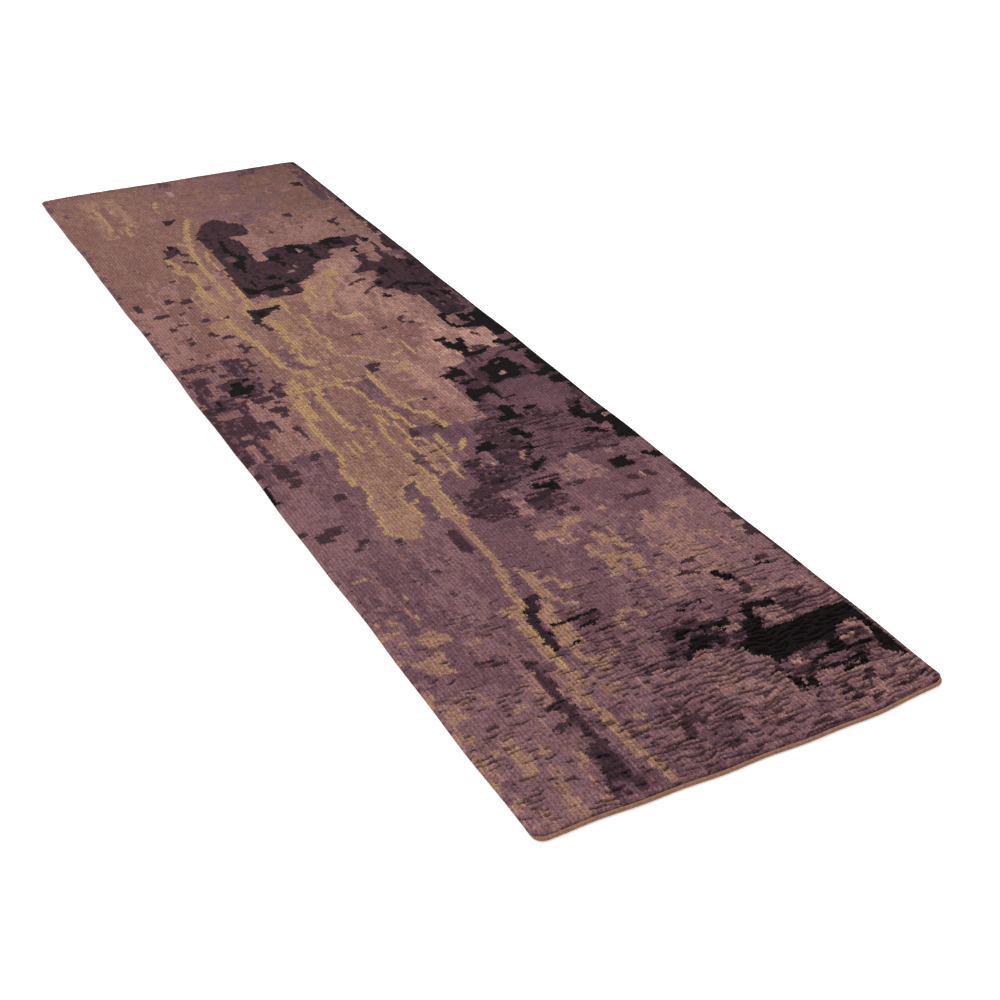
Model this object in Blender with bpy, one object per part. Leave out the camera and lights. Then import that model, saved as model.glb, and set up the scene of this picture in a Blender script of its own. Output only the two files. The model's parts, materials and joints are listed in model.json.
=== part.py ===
"""Hand-knotted runner rug: a cut pile of seven dyed yarns on a woven foundation,
with its long sides overcast round a cord and its ends whipped round a cord.

Metres, +Z up. The origin is on the floor, under the middle of the rug. +X runs
across the rug, +Y along it, and the underside lies on Z = 0.
"""

import math

import bmesh
import bpy
from mathutils import Matrix, Vector

# Overall size, over the bound edges
RUG_WIDTH = 0.800
RUG_LENGTH = 3.000
CORNER_RADIUS = 0.024

# Layers
FOUNDATION_THICKNESS = 0.0025
PILE_HEIGHT = 0.0087

# Bound edge: a cord with yarn wrapped round it
BEAD_WIDTH = 0.0080
BEAD_HEIGHT = 0.0070
WRAP_THICKNESS = 0.0012
BEAD_SIDES = 12
CORNER_STEPS = 8

# Clearance between pieces that touch
GAP = 0.0003

# Colour chart: knots are grouped into cells, and each cell has one yarn.
# Its shapes are drawn on a sheet of this size, from the front left corner,
# and stretched to the pile.
CHART_WIDTH = 0.80
CHART_LENGTH = 3.00
CHART_COLUMNS = 24
CHART_ROWS = 72
SMALLEST_AREA = 4

PILE_YARNS = {
    "pile_mauve": (0.183, 0.092, 0.094),
    "pile_taupe": (0.258, 0.130, 0.098),
    "pile_rose": (0.300, 0.160, 0.140),
    "pile_plum": (0.074, 0.038, 0.044),
    "pile_charcoal": (0.020, 0.011, 0.012),
    "pile_tan": (0.352, 0.205, 0.140),
    "pile_gold": (0.390, 0.240, 0.120),
}
WARP_COTTON = (0.420, 0.340, 0.260)
CORD_COTTON = (0.380, 0.310, 0.240)
SIDE_YARN = (0.190, 0.100, 0.095)
END_YARN = (0.330, 0.190, 0.130)

# Areas of one yarn, painted in this order over a mauve ground
AREAS = [
    ("pile_taupe", [(0.00, 1.95), (0.00, 3.00), (0.32, 3.00), (0.34, 2.70), (0.66, 2.62),
                    (0.66, 2.34), (0.30, 2.34), (0.30, 1.95)]),
    ("pile_rose", [(0.44, 2.56), (0.76, 2.50), (0.76, 2.33), (0.48, 2.33)]),
    ("pile_rose", [(0.00, 1.70), (0.00, 2.10), (0.20, 2.10), (0.22, 1.70)]),
    ("pile_rose", [(0.28, 1.45), (0.28, 2.02), (0.44, 2.02), (0.56, 2.18), (0.66, 2.22),
                   (0.68, 1.86), (0.71, 1.78), (0.69, 1.50), (0.56, 1.47), (0.55, 1.20),
                   (0.38, 1.20)]),
    ("pile_rose", [(0.05, 1.18), (0.05, 1.34), (0.18, 1.34), (0.18, 1.18)]),
    ("pile_rose", [(0.56, 0.84), (0.56, 0.98), (0.65, 0.98), (0.65, 0.84)]),
    ("pile_plum", [(0.315, 2.04), (0.31, 2.50), (0.37, 2.61), (0.45, 2.59), (0.47, 2.50),
                   (0.41, 2.42), (0.42, 2.28), (0.50, 2.33), (0.73, 2.33), (0.69, 2.25),
                   (0.58, 2.19), (0.50, 2.08), (0.44, 2.01)]),
    ("pile_plum", [(0.64, 2.14), (0.80, 2.17), (0.80, 1.52), (0.70, 1.62), (0.71, 1.78),
                   (0.67, 1.87), (0.63, 2.00)]),
    ("pile_plum", [(0.01, 1.34), (0.01, 1.45), (0.12, 1.50), (0.12, 1.72), (0.16, 1.72),
                   (0.16, 1.52), (0.12, 1.34)]),
    ("pile_plum", [(0.02, 1.54), (0.02, 1.72), (0.07, 1.72), (0.07, 1.54)]),
    ("pile_plum", [(0.32, 0.80), (0.34, 0.93), (0.49, 1.00), (0.50, 1.17), (0.80, 1.17),
                   (0.80, 1.00), (0.54, 0.90), (0.52, 0.79)]),
    ("pile_plum", [(0.55, 1.25), (0.55, 1.45), (0.80, 1.50), (0.80, 1.26)]),
    ("pile_plum", [(0.42, 0.25), (0.42, 0.34), (0.60, 0.34), (0.60, 0.25)]),
    ("pile_plum", [(0.165, 0.00), (0.165, 0.38), (0.205, 0.38), (0.205, 0.00)]),
    ("pile_charcoal", [(0.35, 2.22), (0.35, 2.46), (0.39, 2.46), (0.39, 2.22)]),
    ("pile_charcoal", [(0.50, 2.19), (0.50, 2.33), (0.57, 2.33), (0.57, 2.19)]),
    ("pile_charcoal", [(0.61, 2.25), (0.61, 2.34), (0.68, 2.34), (0.68, 2.25)]),
    ("pile_charcoal", [(0.31, 2.04), (0.31, 2.10), (0.45, 2.10), (0.45, 2.04)]),
    ("pile_charcoal", [(0.66, 1.89), (0.66, 1.97), (0.76, 1.97), (0.76, 1.89)]),
    ("pile_charcoal", [(0.69, 1.56), (0.69, 1.68), (0.80, 1.68), (0.80, 1.56)]),
    ("pile_charcoal", [(0.27, 1.90), (0.27, 1.97), (0.36, 1.97), (0.36, 1.90)]),
    ("pile_charcoal", [(0.09, 1.52), (0.09, 1.60), (0.14, 1.60), (0.14, 1.52)]),
    ("pile_charcoal", [(0.62, 1.52), (0.62, 1.60), (0.68, 1.60), (0.68, 1.52)]),
    ("pile_charcoal", [(0.56, 1.25), (0.56, 1.44), (0.60, 1.44), (0.60, 1.25)]),
    ("pile_charcoal", [(0.64, 1.33), (0.64, 1.44), (0.73, 1.44), (0.73, 1.33)]),
    ("pile_charcoal", [(0.76, 1.00), (0.76, 1.50), (0.80, 1.50), (0.80, 1.00)]),
    ("pile_charcoal", [(0.48, 0.84), (0.48, 0.90), (0.55, 0.90), (0.55, 0.84)]),
    ("pile_charcoal", [(0.56, 0.19), (0.56, 0.27), (0.80, 0.27), (0.80, 0.19)]),
    ("pile_charcoal", [(0.59, 0.25), (0.59, 0.34), (0.63, 0.34), (0.63, 0.25)]),
    ("pile_charcoal", [(0.46, 0.29), (0.46, 0.33), (0.57, 0.33), (0.57, 0.29)]),
    ("pile_charcoal", [(0.75, 0.10), (0.75, 0.20), (0.80, 0.20), (0.80, 0.10)]),
    ("pile_tan", [(0.19, 1.50), (0.18, 1.20), (0.16, 1.05), (0.155, 0.82), (0.245, 0.82),
                  (0.26, 0.98), (0.32, 1.08), (0.39, 1.20), (0.40, 1.48), (0.30, 1.60)]),
    ("pile_tan", [(0.42, 1.84), (0.46, 2.00), (0.55, 2.14), (0.59, 2.12), (0.52, 1.98),
                  (0.50, 1.84)]),
    ("pile_tan", [(0.31, 0.50), (0.31, 0.66), (0.38, 0.60), (0.38, 0.50)]),
    ("pile_tan", [(0.28, 0.30), (0.28, 0.48), (0.34, 0.48), (0.34, 0.30)]),
    ("pile_tan", [(0.40, 0.60), (0.40, 0.73), (0.52, 0.73), (0.55, 0.60)]),
    ("pile_tan", [(0.02, 0.40), (0.02, 0.47), (0.08, 0.47), (0.08, 0.40)]),
]

# Drawn lines of one yarn, each with its width
LINES = [
    ("pile_gold", 0.036, [(0.10, 2.91), (0.12, 2.82), (0.13, 2.62)]),
    ("pile_gold", 0.036, [(0.34, 2.63), (0.29, 2.50), (0.265, 2.30), (0.26, 2.04),
                          (0.28, 1.90)]),
    ("pile_gold", 0.036, [(0.20, 2.38), (0.19, 2.28), (0.22, 2.20), (0.21, 2.00),
                          (0.22, 1.75), (0.24, 1.60), (0.30, 1.55)]),
    ("pile_gold", 0.040, [(0.29, 1.76), (0.31, 1.55), (0.33, 1.50)]),
    ("pile_gold", 0.036, [(0.36, 2.00), (0.38, 1.80), (0.38, 1.62), (0.46, 1.55),
                          (0.50, 1.50)]),
    ("pile_gold", 0.036, [(0.40, 1.46), (0.42, 1.28), (0.45, 1.17)]),
    ("pile_tan", 0.036, [(0.31, 1.08), (0.30, 0.82), (0.27, 0.60), (0.25, 0.32),
                         (0.24, 0.00)]),
]


def new_material(name, colour):
    """Woolly Principled material of one linear colour"""
    material = bpy.data.materials.new(name)
    material.use_nodes = True
    shader = material.node_tree.nodes["Principled BSDF"]
    shader.inputs["Base Color"].default_value = (*colour, 1.0)
    shader.inputs["Roughness"].default_value = 0.9
    shader.inputs["Metallic"].default_value = 0.0
    return material


def new_part(name, bm, colour, collection):
    """Object of its own from a bmesh, which is freed"""
    bmesh.ops.recalc_face_normals(bm, faces=bm.faces)
    mesh = bpy.data.meshes.new(name)
    bm.to_mesh(mesh)
    bm.free()
    part = bpy.data.objects.new(name, mesh)
    part.data.materials.append(new_material(name, colour))
    collection.objects.link(part)
    return part


def extrude_up(bm, bottom, top):
    """Give the flat faces of bm a body from one height to another"""
    for vert in bm.verts:
        vert.co.z = bottom
    grown = bmesh.ops.extrude_face_region(bm, geom=bm.faces[:])["geom"]
    tips = [item for item in grown if isinstance(item, bmesh.types.BMVert)]
    bmesh.ops.translate(bm, verts=tips, vec=(0.0, 0.0, top - bottom))


def rounded_sheet(width, length, radius, columns=1, rows=1):
    """Flat sheet of cells about the origin, with its four corners rounded"""
    bm = bmesh.new()
    bmesh.ops.create_grid(bm, x_segments=columns, y_segments=rows, size=0.5)
    bmesh.ops.scale(bm, vec=(width, length, 1.0), verts=bm.verts)
    corners = [vert for vert in bm.verts if len(vert.link_edges) == 2]
    bmesh.ops.bevel(
        bm, geom=corners, affect="VERTICES", offset=radius, offset_type="OFFSET",
        segments=CORNER_STEPS, profile=0.5, material=-1,
    )
    return bm


def make_foundation(collection):
    """Woven cotton web inside the bound edge"""
    inset = BEAD_WIDTH + GAP
    bm = rounded_sheet(
        RUG_WIDTH - 2 * inset, RUG_LENGTH - 2 * inset, CORNER_RADIUS - inset
    )
    extrude_up(bm, 0.0, FOUNDATION_THICKNESS)
    new_part("foundation_web", bm, WARP_COTTON, collection)


def oval(bm, width, height, centre, filled):
    """Upright oval in the XZ plane; returns its edges"""
    place = (
        Matrix.Translation(centre)
        @ Matrix.Rotation(math.radians(90), 4, "X")
        @ Matrix.Diagonal((width / 2, height / 2, 1.0, 1.0))
    )
    made = bmesh.ops.create_circle(
        bm, segments=BEAD_SIDES, radius=1.0, cap_ends=filled, matrix=place
    )
    return list({edge for vert in made["verts"] for edge in vert.link_edges})


def bead_section(bm, centre, hollow):
    """Section of the bound edge: the wrapping's ring, or the cord inside it"""
    if hollow:
        room = 2 * WRAP_THICKNESS
        edges = oval(bm, BEAD_WIDTH, BEAD_HEIGHT, centre, False)
        edges += oval(bm, BEAD_WIDTH - room, BEAD_HEIGHT - room, centre, False)
        bmesh.ops.bridge_loops(bm, edges=edges)
    else:
        room = 2 * (WRAP_THICKNESS + GAP)
        oval(bm, BEAD_WIDTH - room, BEAD_HEIGHT - room, centre, True)
    return bm.verts[:] + bm.edges[:] + bm.faces[:]


def push(bm, end, move):
    """Lengthen a section in a straight line; returns the new end"""
    grown = bmesh.ops.extrude_face_region(bm, geom=end)["geom"]
    tips = [item for item in grown if isinstance(item, bmesh.types.BMVert)]
    bmesh.ops.translate(bm, verts=tips, vec=move)
    return grown


def turn(bm, end, centre):
    """Lengthen a section round a quarter turn; returns the new end"""
    return bmesh.ops.spin(
        bm, geom=end, cent=centre, axis=(0.0, 0.0, 1.0), angle=math.radians(90),
        steps=CORNER_STEPS,
    )["geom_last"]


def end_bead(hollow):
    """Bound edge of the front end, with the two corners it goes round"""
    bm = bmesh.new()
    side = RUG_WIDTH / 2 - BEAD_WIDTH / 2
    turn_x = RUG_WIDTH / 2 - CORNER_RADIUS
    turn_y = CORNER_RADIUS - RUG_LENGTH / 2
    start = Vector((-side, turn_y, BEAD_HEIGHT / 2))
    end = bead_section(bm, start, hollow)
    end = turn(bm, end, (-turn_x, turn_y, 0.0))
    end = push(bm, end, (2 * turn_x, 0.0, 0.0))
    turn(bm, end, (turn_x, turn_y, 0.0))
    return bm


def side_bead(hollow):
    """Bound edge of the left side, between the two ends"""
    bm = bmesh.new()
    reach = RUG_LENGTH / 2 - CORNER_RADIUS - GAP
    start = Vector((BEAD_WIDTH / 2 - RUG_WIDTH / 2, -reach, BEAD_HEIGHT / 2))
    end = bead_section(bm, start, hollow)
    push(bm, end, (0.0, 2 * reach, 0.0))
    return bm


def make_bound_edges(collection):
    """Cord and wrapping of each side and each end"""
    half_turn = Matrix.Rotation(math.radians(180), 4, "Z")
    for bead, names, yarn, wrapping in (
        (side_bead, ("left", "right"), SIDE_YARN, "overcasting"),
        (end_bead, ("front", "rear"), END_YARN, "whipping"),
    ):
        for place, side in zip((Matrix.Identity(4), half_turn), names):
            sleeve = new_part(f"{side}_{wrapping}", bead(True), yarn, collection)
            cord = new_part(f"{side}_cord", bead(False), CORD_COTTON, collection)
            for part in (sleeve, cord):
                part.data.transform(place)
                part.data.shade_smooth()
                part.data.set_sharp_from_angle(angle=math.radians(40))


def inside(point, outline):
    """Whether a chart point is inside a closed outline"""
    x, y = point
    odd = False
    for (xa, ya), (xb, yb) in zip(outline, outline[1:] + outline[:1]):
        if (ya > y) != (yb > y) and x < xa + (y - ya) * (xb - xa) / (yb - ya):
            odd = not odd
    return odd


def near_line(point, points, reach):
    """Whether a chart point is within reach of a line through the points"""
    p = Vector(point)
    for a, b in zip(points, points[1:]):
        start, run = Vector(a), Vector(b) - Vector(a)
        along = max(0.0, min(1.0, (p - start).dot(run) / run.length_squared))
        if (p - start - run * along).length <= reach:
            return True
    return False


def draw_chart():
    """Yarn of each chart cell, by column and row"""
    chart = {}
    for column in range(CHART_COLUMNS):
        for row in range(CHART_ROWS):
            point = (
                (column + 0.5) / CHART_COLUMNS * CHART_WIDTH,
                (row + 0.5) / CHART_ROWS * CHART_LENGTH,
            )
            yarn = "pile_mauve"
            for area_yarn, outline in AREAS:
                if inside(point, outline):
                    yarn = area_yarn
            for line_yarn, width, points in LINES:
                if near_line(point, points, width / 2):
                    yarn = line_yarn
            chart[column, row] = yarn
    return chart


def bridge_diagonals(chart):
    """Give cells of one yarn that meet only at a corner a third cell between them"""
    changed = True
    while changed:
        changed = False
        for column in range(CHART_COLUMNS - 1):
            for row in range(CHART_ROWS - 1):
                for a, b in ((column, column + 1), (column + 1, column)):
                    yarn = chart[a, row]
                    between = chart[b, row], chart[a, row + 1]
                    if yarn == chart[b, row + 1] and yarn not in between:
                        chart[b, row] = yarn
                        changed = True


def find_areas(chart):
    """Cells of each connected area of one yarn, by the area's name"""
    areas = {}
    counts = dict.fromkeys(PILE_YARNS, 0)
    left = set(chart)
    for row in range(CHART_ROWS):
        for column in range(CHART_COLUMNS):
            if (column, row) not in left:
                continue
            yarn = chart[column, row]
            left.remove((column, row))
            area = [(column, row)]
            for x, y in area:
                for cell in ((x - 1, y), (x + 1, y), (x, y - 1), (x, y + 1)):
                    if cell in left and chart[cell] == yarn:
                        left.remove(cell)
                        area.append(cell)
            counts[yarn] += 1
            areas[f"{yarn}_{counts[yarn]}"] = area
    return areas


def absorb_specks(chart):
    """Give each area that is too small to be a piece the yarn beside it"""
    for name, area in find_areas(chart).items():
        if len(area) < SMALLEST_AREA:
            x, y = min(area)
            beside = (x - 1, y) if x else (max(area)[0] + 1, y)
            for cell in area:
                chart[cell] = chart[beside]


def make_pile(collection):
    """Pile of each area, standing on the foundation inside the bound edge"""
    inset = BEAD_WIDTH + GAP
    width = RUG_WIDTH - 2 * inset
    length = RUG_LENGTH - 2 * inset
    chart = draw_chart()
    bridge_diagonals(chart)
    absorb_specks(chart)
    areas = find_areas(chart)
    area_at = {cell: index for index, name in enumerate(areas) for cell in areas[name]}
    field = rounded_sheet(
        width, length, CORNER_RADIUS - inset, CHART_COLUMNS, CHART_ROWS
    )
    for face in field.faces:
        middle = face.calc_center_median()
        column = int((middle.x / width + 0.5) * CHART_COLUMNS)
        row = int((middle.y / length + 0.5) * CHART_ROWS)
        face.material_index = area_at[column, row]
    bottom = FOUNDATION_THICKNESS + GAP
    top = FOUNDATION_THICKNESS + PILE_HEIGHT
    for index, name in enumerate(areas):
        bm = field.copy()
        others = [face for face in bm.faces if face.material_index != index]
        bmesh.ops.delete(bm, geom=others, context="FACES")
        for face in bm.faces:
            face.material_index = 0
        bmesh.ops.dissolve_limit(
            bm, angle_limit=math.radians(1), verts=bm.verts, edges=bm.edges
        )
        rim = bmesh.ops.inset_region(
            bm, faces=bm.faces[:], thickness=GAP / 2, use_boundary=True,
            use_even_offset=True,
        )["faces"]
        bmesh.ops.delete(bm, geom=rim, context="FACES")
        extrude_up(bm, bottom, top)
        new_part(name, bm, PILE_YARNS[name.rpartition("_")[0]], collection)
    field.free()


def main():
    for old in list(bpy.data.objects):
        bpy.data.objects.remove(old, do_unlink=True)
    collection = bpy.data.collections.new("runner_rug")
    bpy.context.scene.collection.children.link(collection)
    make_foundation(collection)
    make_bound_edges(collection)
    make_pile(collection)


main()
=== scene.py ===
# %% [markdown]
# # A hand-knotted runner rug
# A runner is a long narrow rug. This one is wool pile knotted row by row on a cotton
# web, with whipped ends and overcast sides. The measured solid parts come in first and
# stay where they are. Everything made below is laid over them in the same metres.

# %% Load the fixed frame
import json
import math

import bmesh
import bpy
import numpy as np
from mathutils import Matrix, Vector

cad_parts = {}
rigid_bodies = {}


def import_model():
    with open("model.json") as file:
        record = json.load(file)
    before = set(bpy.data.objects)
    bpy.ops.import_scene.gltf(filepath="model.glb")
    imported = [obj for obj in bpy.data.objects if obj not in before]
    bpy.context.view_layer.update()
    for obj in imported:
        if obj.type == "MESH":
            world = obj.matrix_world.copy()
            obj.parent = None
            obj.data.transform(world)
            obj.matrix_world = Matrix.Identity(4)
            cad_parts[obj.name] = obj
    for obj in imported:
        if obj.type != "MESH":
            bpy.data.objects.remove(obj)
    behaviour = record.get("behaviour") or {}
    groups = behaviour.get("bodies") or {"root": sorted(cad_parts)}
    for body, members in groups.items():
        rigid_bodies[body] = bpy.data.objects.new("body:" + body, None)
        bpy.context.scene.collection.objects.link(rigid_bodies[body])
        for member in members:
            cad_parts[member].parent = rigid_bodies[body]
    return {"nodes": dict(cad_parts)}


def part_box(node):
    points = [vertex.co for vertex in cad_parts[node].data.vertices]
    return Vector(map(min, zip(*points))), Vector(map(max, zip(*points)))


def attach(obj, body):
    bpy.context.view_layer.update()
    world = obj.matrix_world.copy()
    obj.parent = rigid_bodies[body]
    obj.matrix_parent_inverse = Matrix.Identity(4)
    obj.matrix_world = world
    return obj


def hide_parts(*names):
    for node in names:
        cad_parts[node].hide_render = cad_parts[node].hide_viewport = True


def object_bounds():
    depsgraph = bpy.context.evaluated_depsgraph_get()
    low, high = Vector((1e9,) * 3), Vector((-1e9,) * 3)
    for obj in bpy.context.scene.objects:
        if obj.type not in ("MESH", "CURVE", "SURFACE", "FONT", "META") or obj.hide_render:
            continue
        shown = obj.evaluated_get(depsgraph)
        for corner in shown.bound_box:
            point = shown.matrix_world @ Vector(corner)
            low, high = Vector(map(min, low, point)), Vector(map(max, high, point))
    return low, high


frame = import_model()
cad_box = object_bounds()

WIDTH = cad_box[1][0] - cad_box[0][0]
LENGTH = cad_box[1][1] - cad_box[0][1]
TOP = cad_box[1][2]
print("rug", [round(s, 4) for s in (WIDTH, LENGTH, TOP)], "m;", len(frame["nodes"]), "solid parts")

# %% [markdown]
# ## Colours and nodes
# Dyers name a shade, as screens do, with sRGB values. Blender mixes light in
# linear values, so one function turns a shade into what a shader wants. One more adds a
# node with its settings and links, which keeps each finish short enough to read.

# %% Helpers for colour and nodes
def dye(shade):
    """Linear colour of an sRGB hex shade"""
    parts = [int(shade[i : i + 2], 16) / 255 for i in (1, 3, 5)]
    return tuple(p / 12.92 if p <= 0.04045 else ((p + 0.055) / 1.055) ** 2.4 for p in parts) + (1.0,)


def add(tree, kind, inputs=None, **settings):
    """New node. An input is a number, a colour, or the socket it is linked from"""
    made = tree.nodes.new(kind)
    for name, value in settings.items():
        setattr(made, name, value)
    for name, value in (inputs or {}).items():
        if isinstance(value, bpy.types.NodeSocket):
            tree.links.new(value, made.inputs[name])
        else:
            made.inputs[name].default_value = value
    return made


print("a mid mauve in linear light:", [round(c, 3) for c in dye("#735158")])

# %% [markdown]
# ## Where the camera stands
# A long rug is best seen across one corner, from standing height and a few steps away,
# so that its whole length fits the frame and the near end shows its knots. The camera
# looks along one direction and keeps the rug's own upright as its up.

# %% Camera
STANDPOINT = (-1.226, -2.901, 1.571)
camera = bpy.data.objects.new("camera", bpy.data.cameras.new("camera"))
bpy.context.scene.collection.objects.link(camera)
ahead = Vector((0.3934, 0.7599, -0.5176)).normalized()
upward = Vector((0.2358, 0.4608, 0.8556)).normalized()
sideways = ahead.cross(upward).normalized()
turn = Matrix((sideways, sideways.cross(ahead), -ahead)).transposed()
camera.matrix_world = Matrix.Translation(STANDPOINT) @ turn.to_4x4()
camera.data.lens = 54.4
camera.data.sensor_width = 36
camera.data.shift_x = 0.025
camera.data.clip_end = 60
bpy.context.scene.camera = camera
print("camera height", round(camera.location.z, 3), "m")

# %% [markdown]
# ## Pale floor and soft studio light
# A product floor is a white sweep under wide soft light. One soft box hangs overhead. A
# soft sun stands beyond the far end and rakes the pile, so each rib and groove takes a
# little shade. A plain pale sky fills the shadows, and the floor gives a little light of
# its own, as a sweep does when lamps shine on it from outside the frame.

# %% Floor and lights
SWEEP, SWEEP_DROP = 14, 0.0004  # metres from its middle to an edge, and down from the rug
SWEEP_WHITE, SWEEP_GLOW = "#f6f5f3", 0.35


def white_floor():
    """White sweep, staged so that it isn't exported with the rug"""
    sweep = bmesh.new()
    bmesh.ops.create_grid(sweep, x_segments=8, y_segments=8, size=SWEEP)
    bmesh.ops.translate(sweep, verts=sweep.verts, vec=(0, 0, -SWEEP_DROP))
    data = bpy.data.meshes.new("floor")
    sweep.to_mesh(data)
    sweep.free()
    floor = bpy.data.objects.new("floor", data)
    bpy.context.scene.collection.objects.link(floor)
    paint_job = bpy.data.materials.new("white_sweep_paint")
    paint_job.use_nodes = True
    shader = paint_job.node_tree.nodes["Principled BSDF"]
    shader.inputs["Base Color"].default_value = dye(SWEEP_WHITE)
    shader.inputs["Roughness"].default_value = 0.85
    shader.inputs["Emission Color"].default_value = dye(SWEEP_WHITE)
    shader.inputs["Emission Strength"].default_value = SWEEP_GLOW
    floor.data.materials.append(paint_job)


def lamp(name, kind, heading, place=(0, 0, 0), **settings):
    """Light of one kind that shines along a heading"""
    light = bpy.data.lights.new(name, kind)
    for setting, value in settings.items():
        setattr(light, setting, value)
    stand = bpy.data.objects.new(name, light)
    bpy.context.scene.collection.objects.link(stand)
    stand.location = place
    stand.rotation_euler = Vector(heading).to_track_quat("-Z", "Y").to_euler()


white_floor()
box = {"shape": "RECTANGLE", "size": 6.0, "size_y": 6.5, "energy": 60}
lamp("overhead_box", "AREA", (0, 0.4, -4.2), place=(0, -0.4, 4.2), **box)
lamp("far_soft_sun", "SUN", (0.5, -0.8, -0.95), energy=2.0, angle=0.5)
sky = bpy.data.worlds.new("pale_sky")
bpy.context.scene.world = sky
sky.use_nodes = True
sky.node_tree.nodes["Background"].inputs["Color"].default_value = (1, 1, 1, 1)
sky.node_tree.nodes["Background"].inputs["Strength"].default_value = 0.75
bpy.context.scene.view_settings.view_transform = "Standard"

# %% [markdown]
# ## Knots, ribs and rows
# Each knot is tied round a pair of warps. The warps run the length of the rug, about
# 8 mm from pair to pair here, and the pile between them opens into a rib. Rows of knots
# are beaten down to about 4 mm. So the design is a chart of 98 by 750 knots, like the
# squared-paper cartoon that a weaver reads from.

# %% The knot chart and its yarns
RIBS = 98
ROWS = 750
YARNS = {
    "charcoal": "#150e0f",
    "black_plum": "#33222a",
    "plum": "#462f35",
    "dusk": "#664850",
    "mauve": "#735158",
    "heather": "#846063",
    "clay": "#88615a",
    "taupe": "#8f6a5e",
    "rose": "#9b726b",
    "blush": "#ae8476",
    "pale_rose": "#bf9485",
    "sand": "#a07966",
    "gold": "#ae8a64",
}
NAMES = list(YARNS)
dice = np.random.default_rng(7)
# The chart is drawn in centimetres, across and along from the near left corner.
ACROSS_CM, ALONG_CM = 80, 300
middles = (np.arange(RIBS) + 0.5) * ACROSS_CM / RIBS, (np.arange(ROWS) + 0.5) * ALONG_CM / ROWS
across, along = np.meshgrid(*middles)
chart = np.full((ROWS, RIBS), NAMES.index("mauve"))
print("knots in the chart:", chart.size)

# %% [markdown]
# ## Drawing like a weaver
# A knotted edge can't be a clean curve. It steps in and out by a knot or two, so every
# outline and line here is drawn a little frayed, by moving each knot by a small random
# amount before asking whether it lies inside. The same random fields mix near shades of
# one dye lot, which gives hand-dyed wool its soft streaks.

# %% Random fields
def random_field(x, y, wide, tall, smooth=True):
    """Random field from -1 to 1 at points in centimetres, in patches of a width and a height"""
    grid = dice.uniform(-1, 1, (int(ALONG_CM / tall) + 3, int(ACROSS_CM / wide) + 3))
    column, row = (x / wide).astype(int), (y / tall).astype(int)
    if not smooth:
        return grid[row, column]
    fx, fy = x / wide - column, y / tall - row
    fx, fy = fx * fx * (3 - 2 * fx), fy * fy * (3 - 2 * fy)
    low = grid[row, column] * (1 - fx) + grid[row, column + 1] * fx
    high = grid[row + 1, column] * (1 - fx) + grid[row + 1, column + 1] * fx
    return low * (1 - fy) + high * fy


def patches(wide, tall, smooth=True):
    """Random field over the knots of the chart"""
    return random_field(across, along, wide, tall, smooth)


fray_x, fray_y = patches(0.8, 1.6, False), patches(0.8, 0.8, False)
# Frays run in steps: two ribs by four rows one way, three ribs by three rows the other way.
fray_x = fray_x[np.arange(ROWS) // 4 * 4][:, np.arange(RIBS) // 2 * 2]
fray_y = 1.4 * fray_y[np.arange(ROWS) // 3 * 3][:, np.arange(RIBS) // 3 * 3]
drift_x, drift_y = patches(3, 5) + 0.6 * fray_x, patches(3, 4) + 0.6 * fray_y
blotch = 0.5 * patches(5, 12) + 0.3 * patches(1.6, 6) + 0.3 * patches(0.82, 2.4, False)
streak = 0.5 * patches(0.82, 14) + 0.4 * patches(1.6, 5) + 0.3 * patches(0.82, 1.2, False)
weft = 0.55 * patches(7, 0.8, False) + 0.35 * patches(3, 1.2) + 0.3 * patches(0.82, 1.2, False)
print("fields spread over", [round(float(np.ptp(field)), 2) for field in (blotch, streak, weft)])


# %% Drawing tools
def within(points, fray=0.35, drift=0.0):
    """Knots inside an outline, with its edge frayed by so many centimetres"""
    x, y = across + fray_x * fray + drift_x * drift, along + fray_y * fray + drift_y * drift
    inside = np.zeros(x.shape, bool)
    for (xa, ya), (xb, yb) in zip(points, points[1:] + points[:1]):
        if ya != yb:
            inside ^= ((ya > y) != (yb > y)) & (x < xa + (y - ya) * (xb - xa) / (yb - ya))
    return inside


def paint(yarn, *points):
    """Area of one yarn"""
    chart[within(list(points))] = NAMES.index(yarn)


def block(yarn, left, right, near, far):
    """Upright patch of one yarn"""
    paint(yarn, (left, near), (right, near), (right, far), (left, far))


def stroke(yarn, width, *points):
    """Line of one yarn, so many centimetres wide"""
    x, y = across + fray_x * 0.2, along + fray_y * 0.2
    for (xa, ya), (xb, yb) in zip(points, points[1:]):
        dx, dy = xb - xa, yb - ya
        share = np.clip(((x - xa) * dx + (y - ya) * dy) / (dx * dx + dy * dy), 0, 1)
        chart[np.hypot(x - xa - share * dx, y - ya - share * dy) < width / 2 + 0.06] = NAMES.index(yarn)


def mix(yarn, amount, field, *points):
    """Knots of one yarn scattered through an area, where a random field is high"""
    inside = within(list(points))
    chart[inside & (field > np.quantile(field[inside], 1 - amount))] = NAMES.index(yarn)


def zone(yarns, field, *points, drift=0.0):
    """Area of several near shades, shared out by a random field"""
    inside = within(list(points), drift=drift)
    steps = np.quantile(field[inside], np.linspace(0, 1, len(yarns) + 1)[1:-1])
    chart[inside] = np.array([NAMES.index(y) for y in yarns])[np.digitize(field[inside], steps)]


def paint_each(yarn, *outlines):
    """Several areas of one yarn"""
    for outline in outlines:
        paint(yarn, *outline)


def veins(yarn, *lines):
    """Several lines of one yarn, each with its width"""
    for width, points in lines:
        stroke(yarn, width, *points)


def tally():
    """Print how many knots three of the yarns have so far"""
    counts = {yarn: np.count_nonzero(chart == NAMES.index(yarn)) for yarn in ("plum", "charcoal", "gold")}
    print("knots so far:", counts)


tally()

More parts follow.
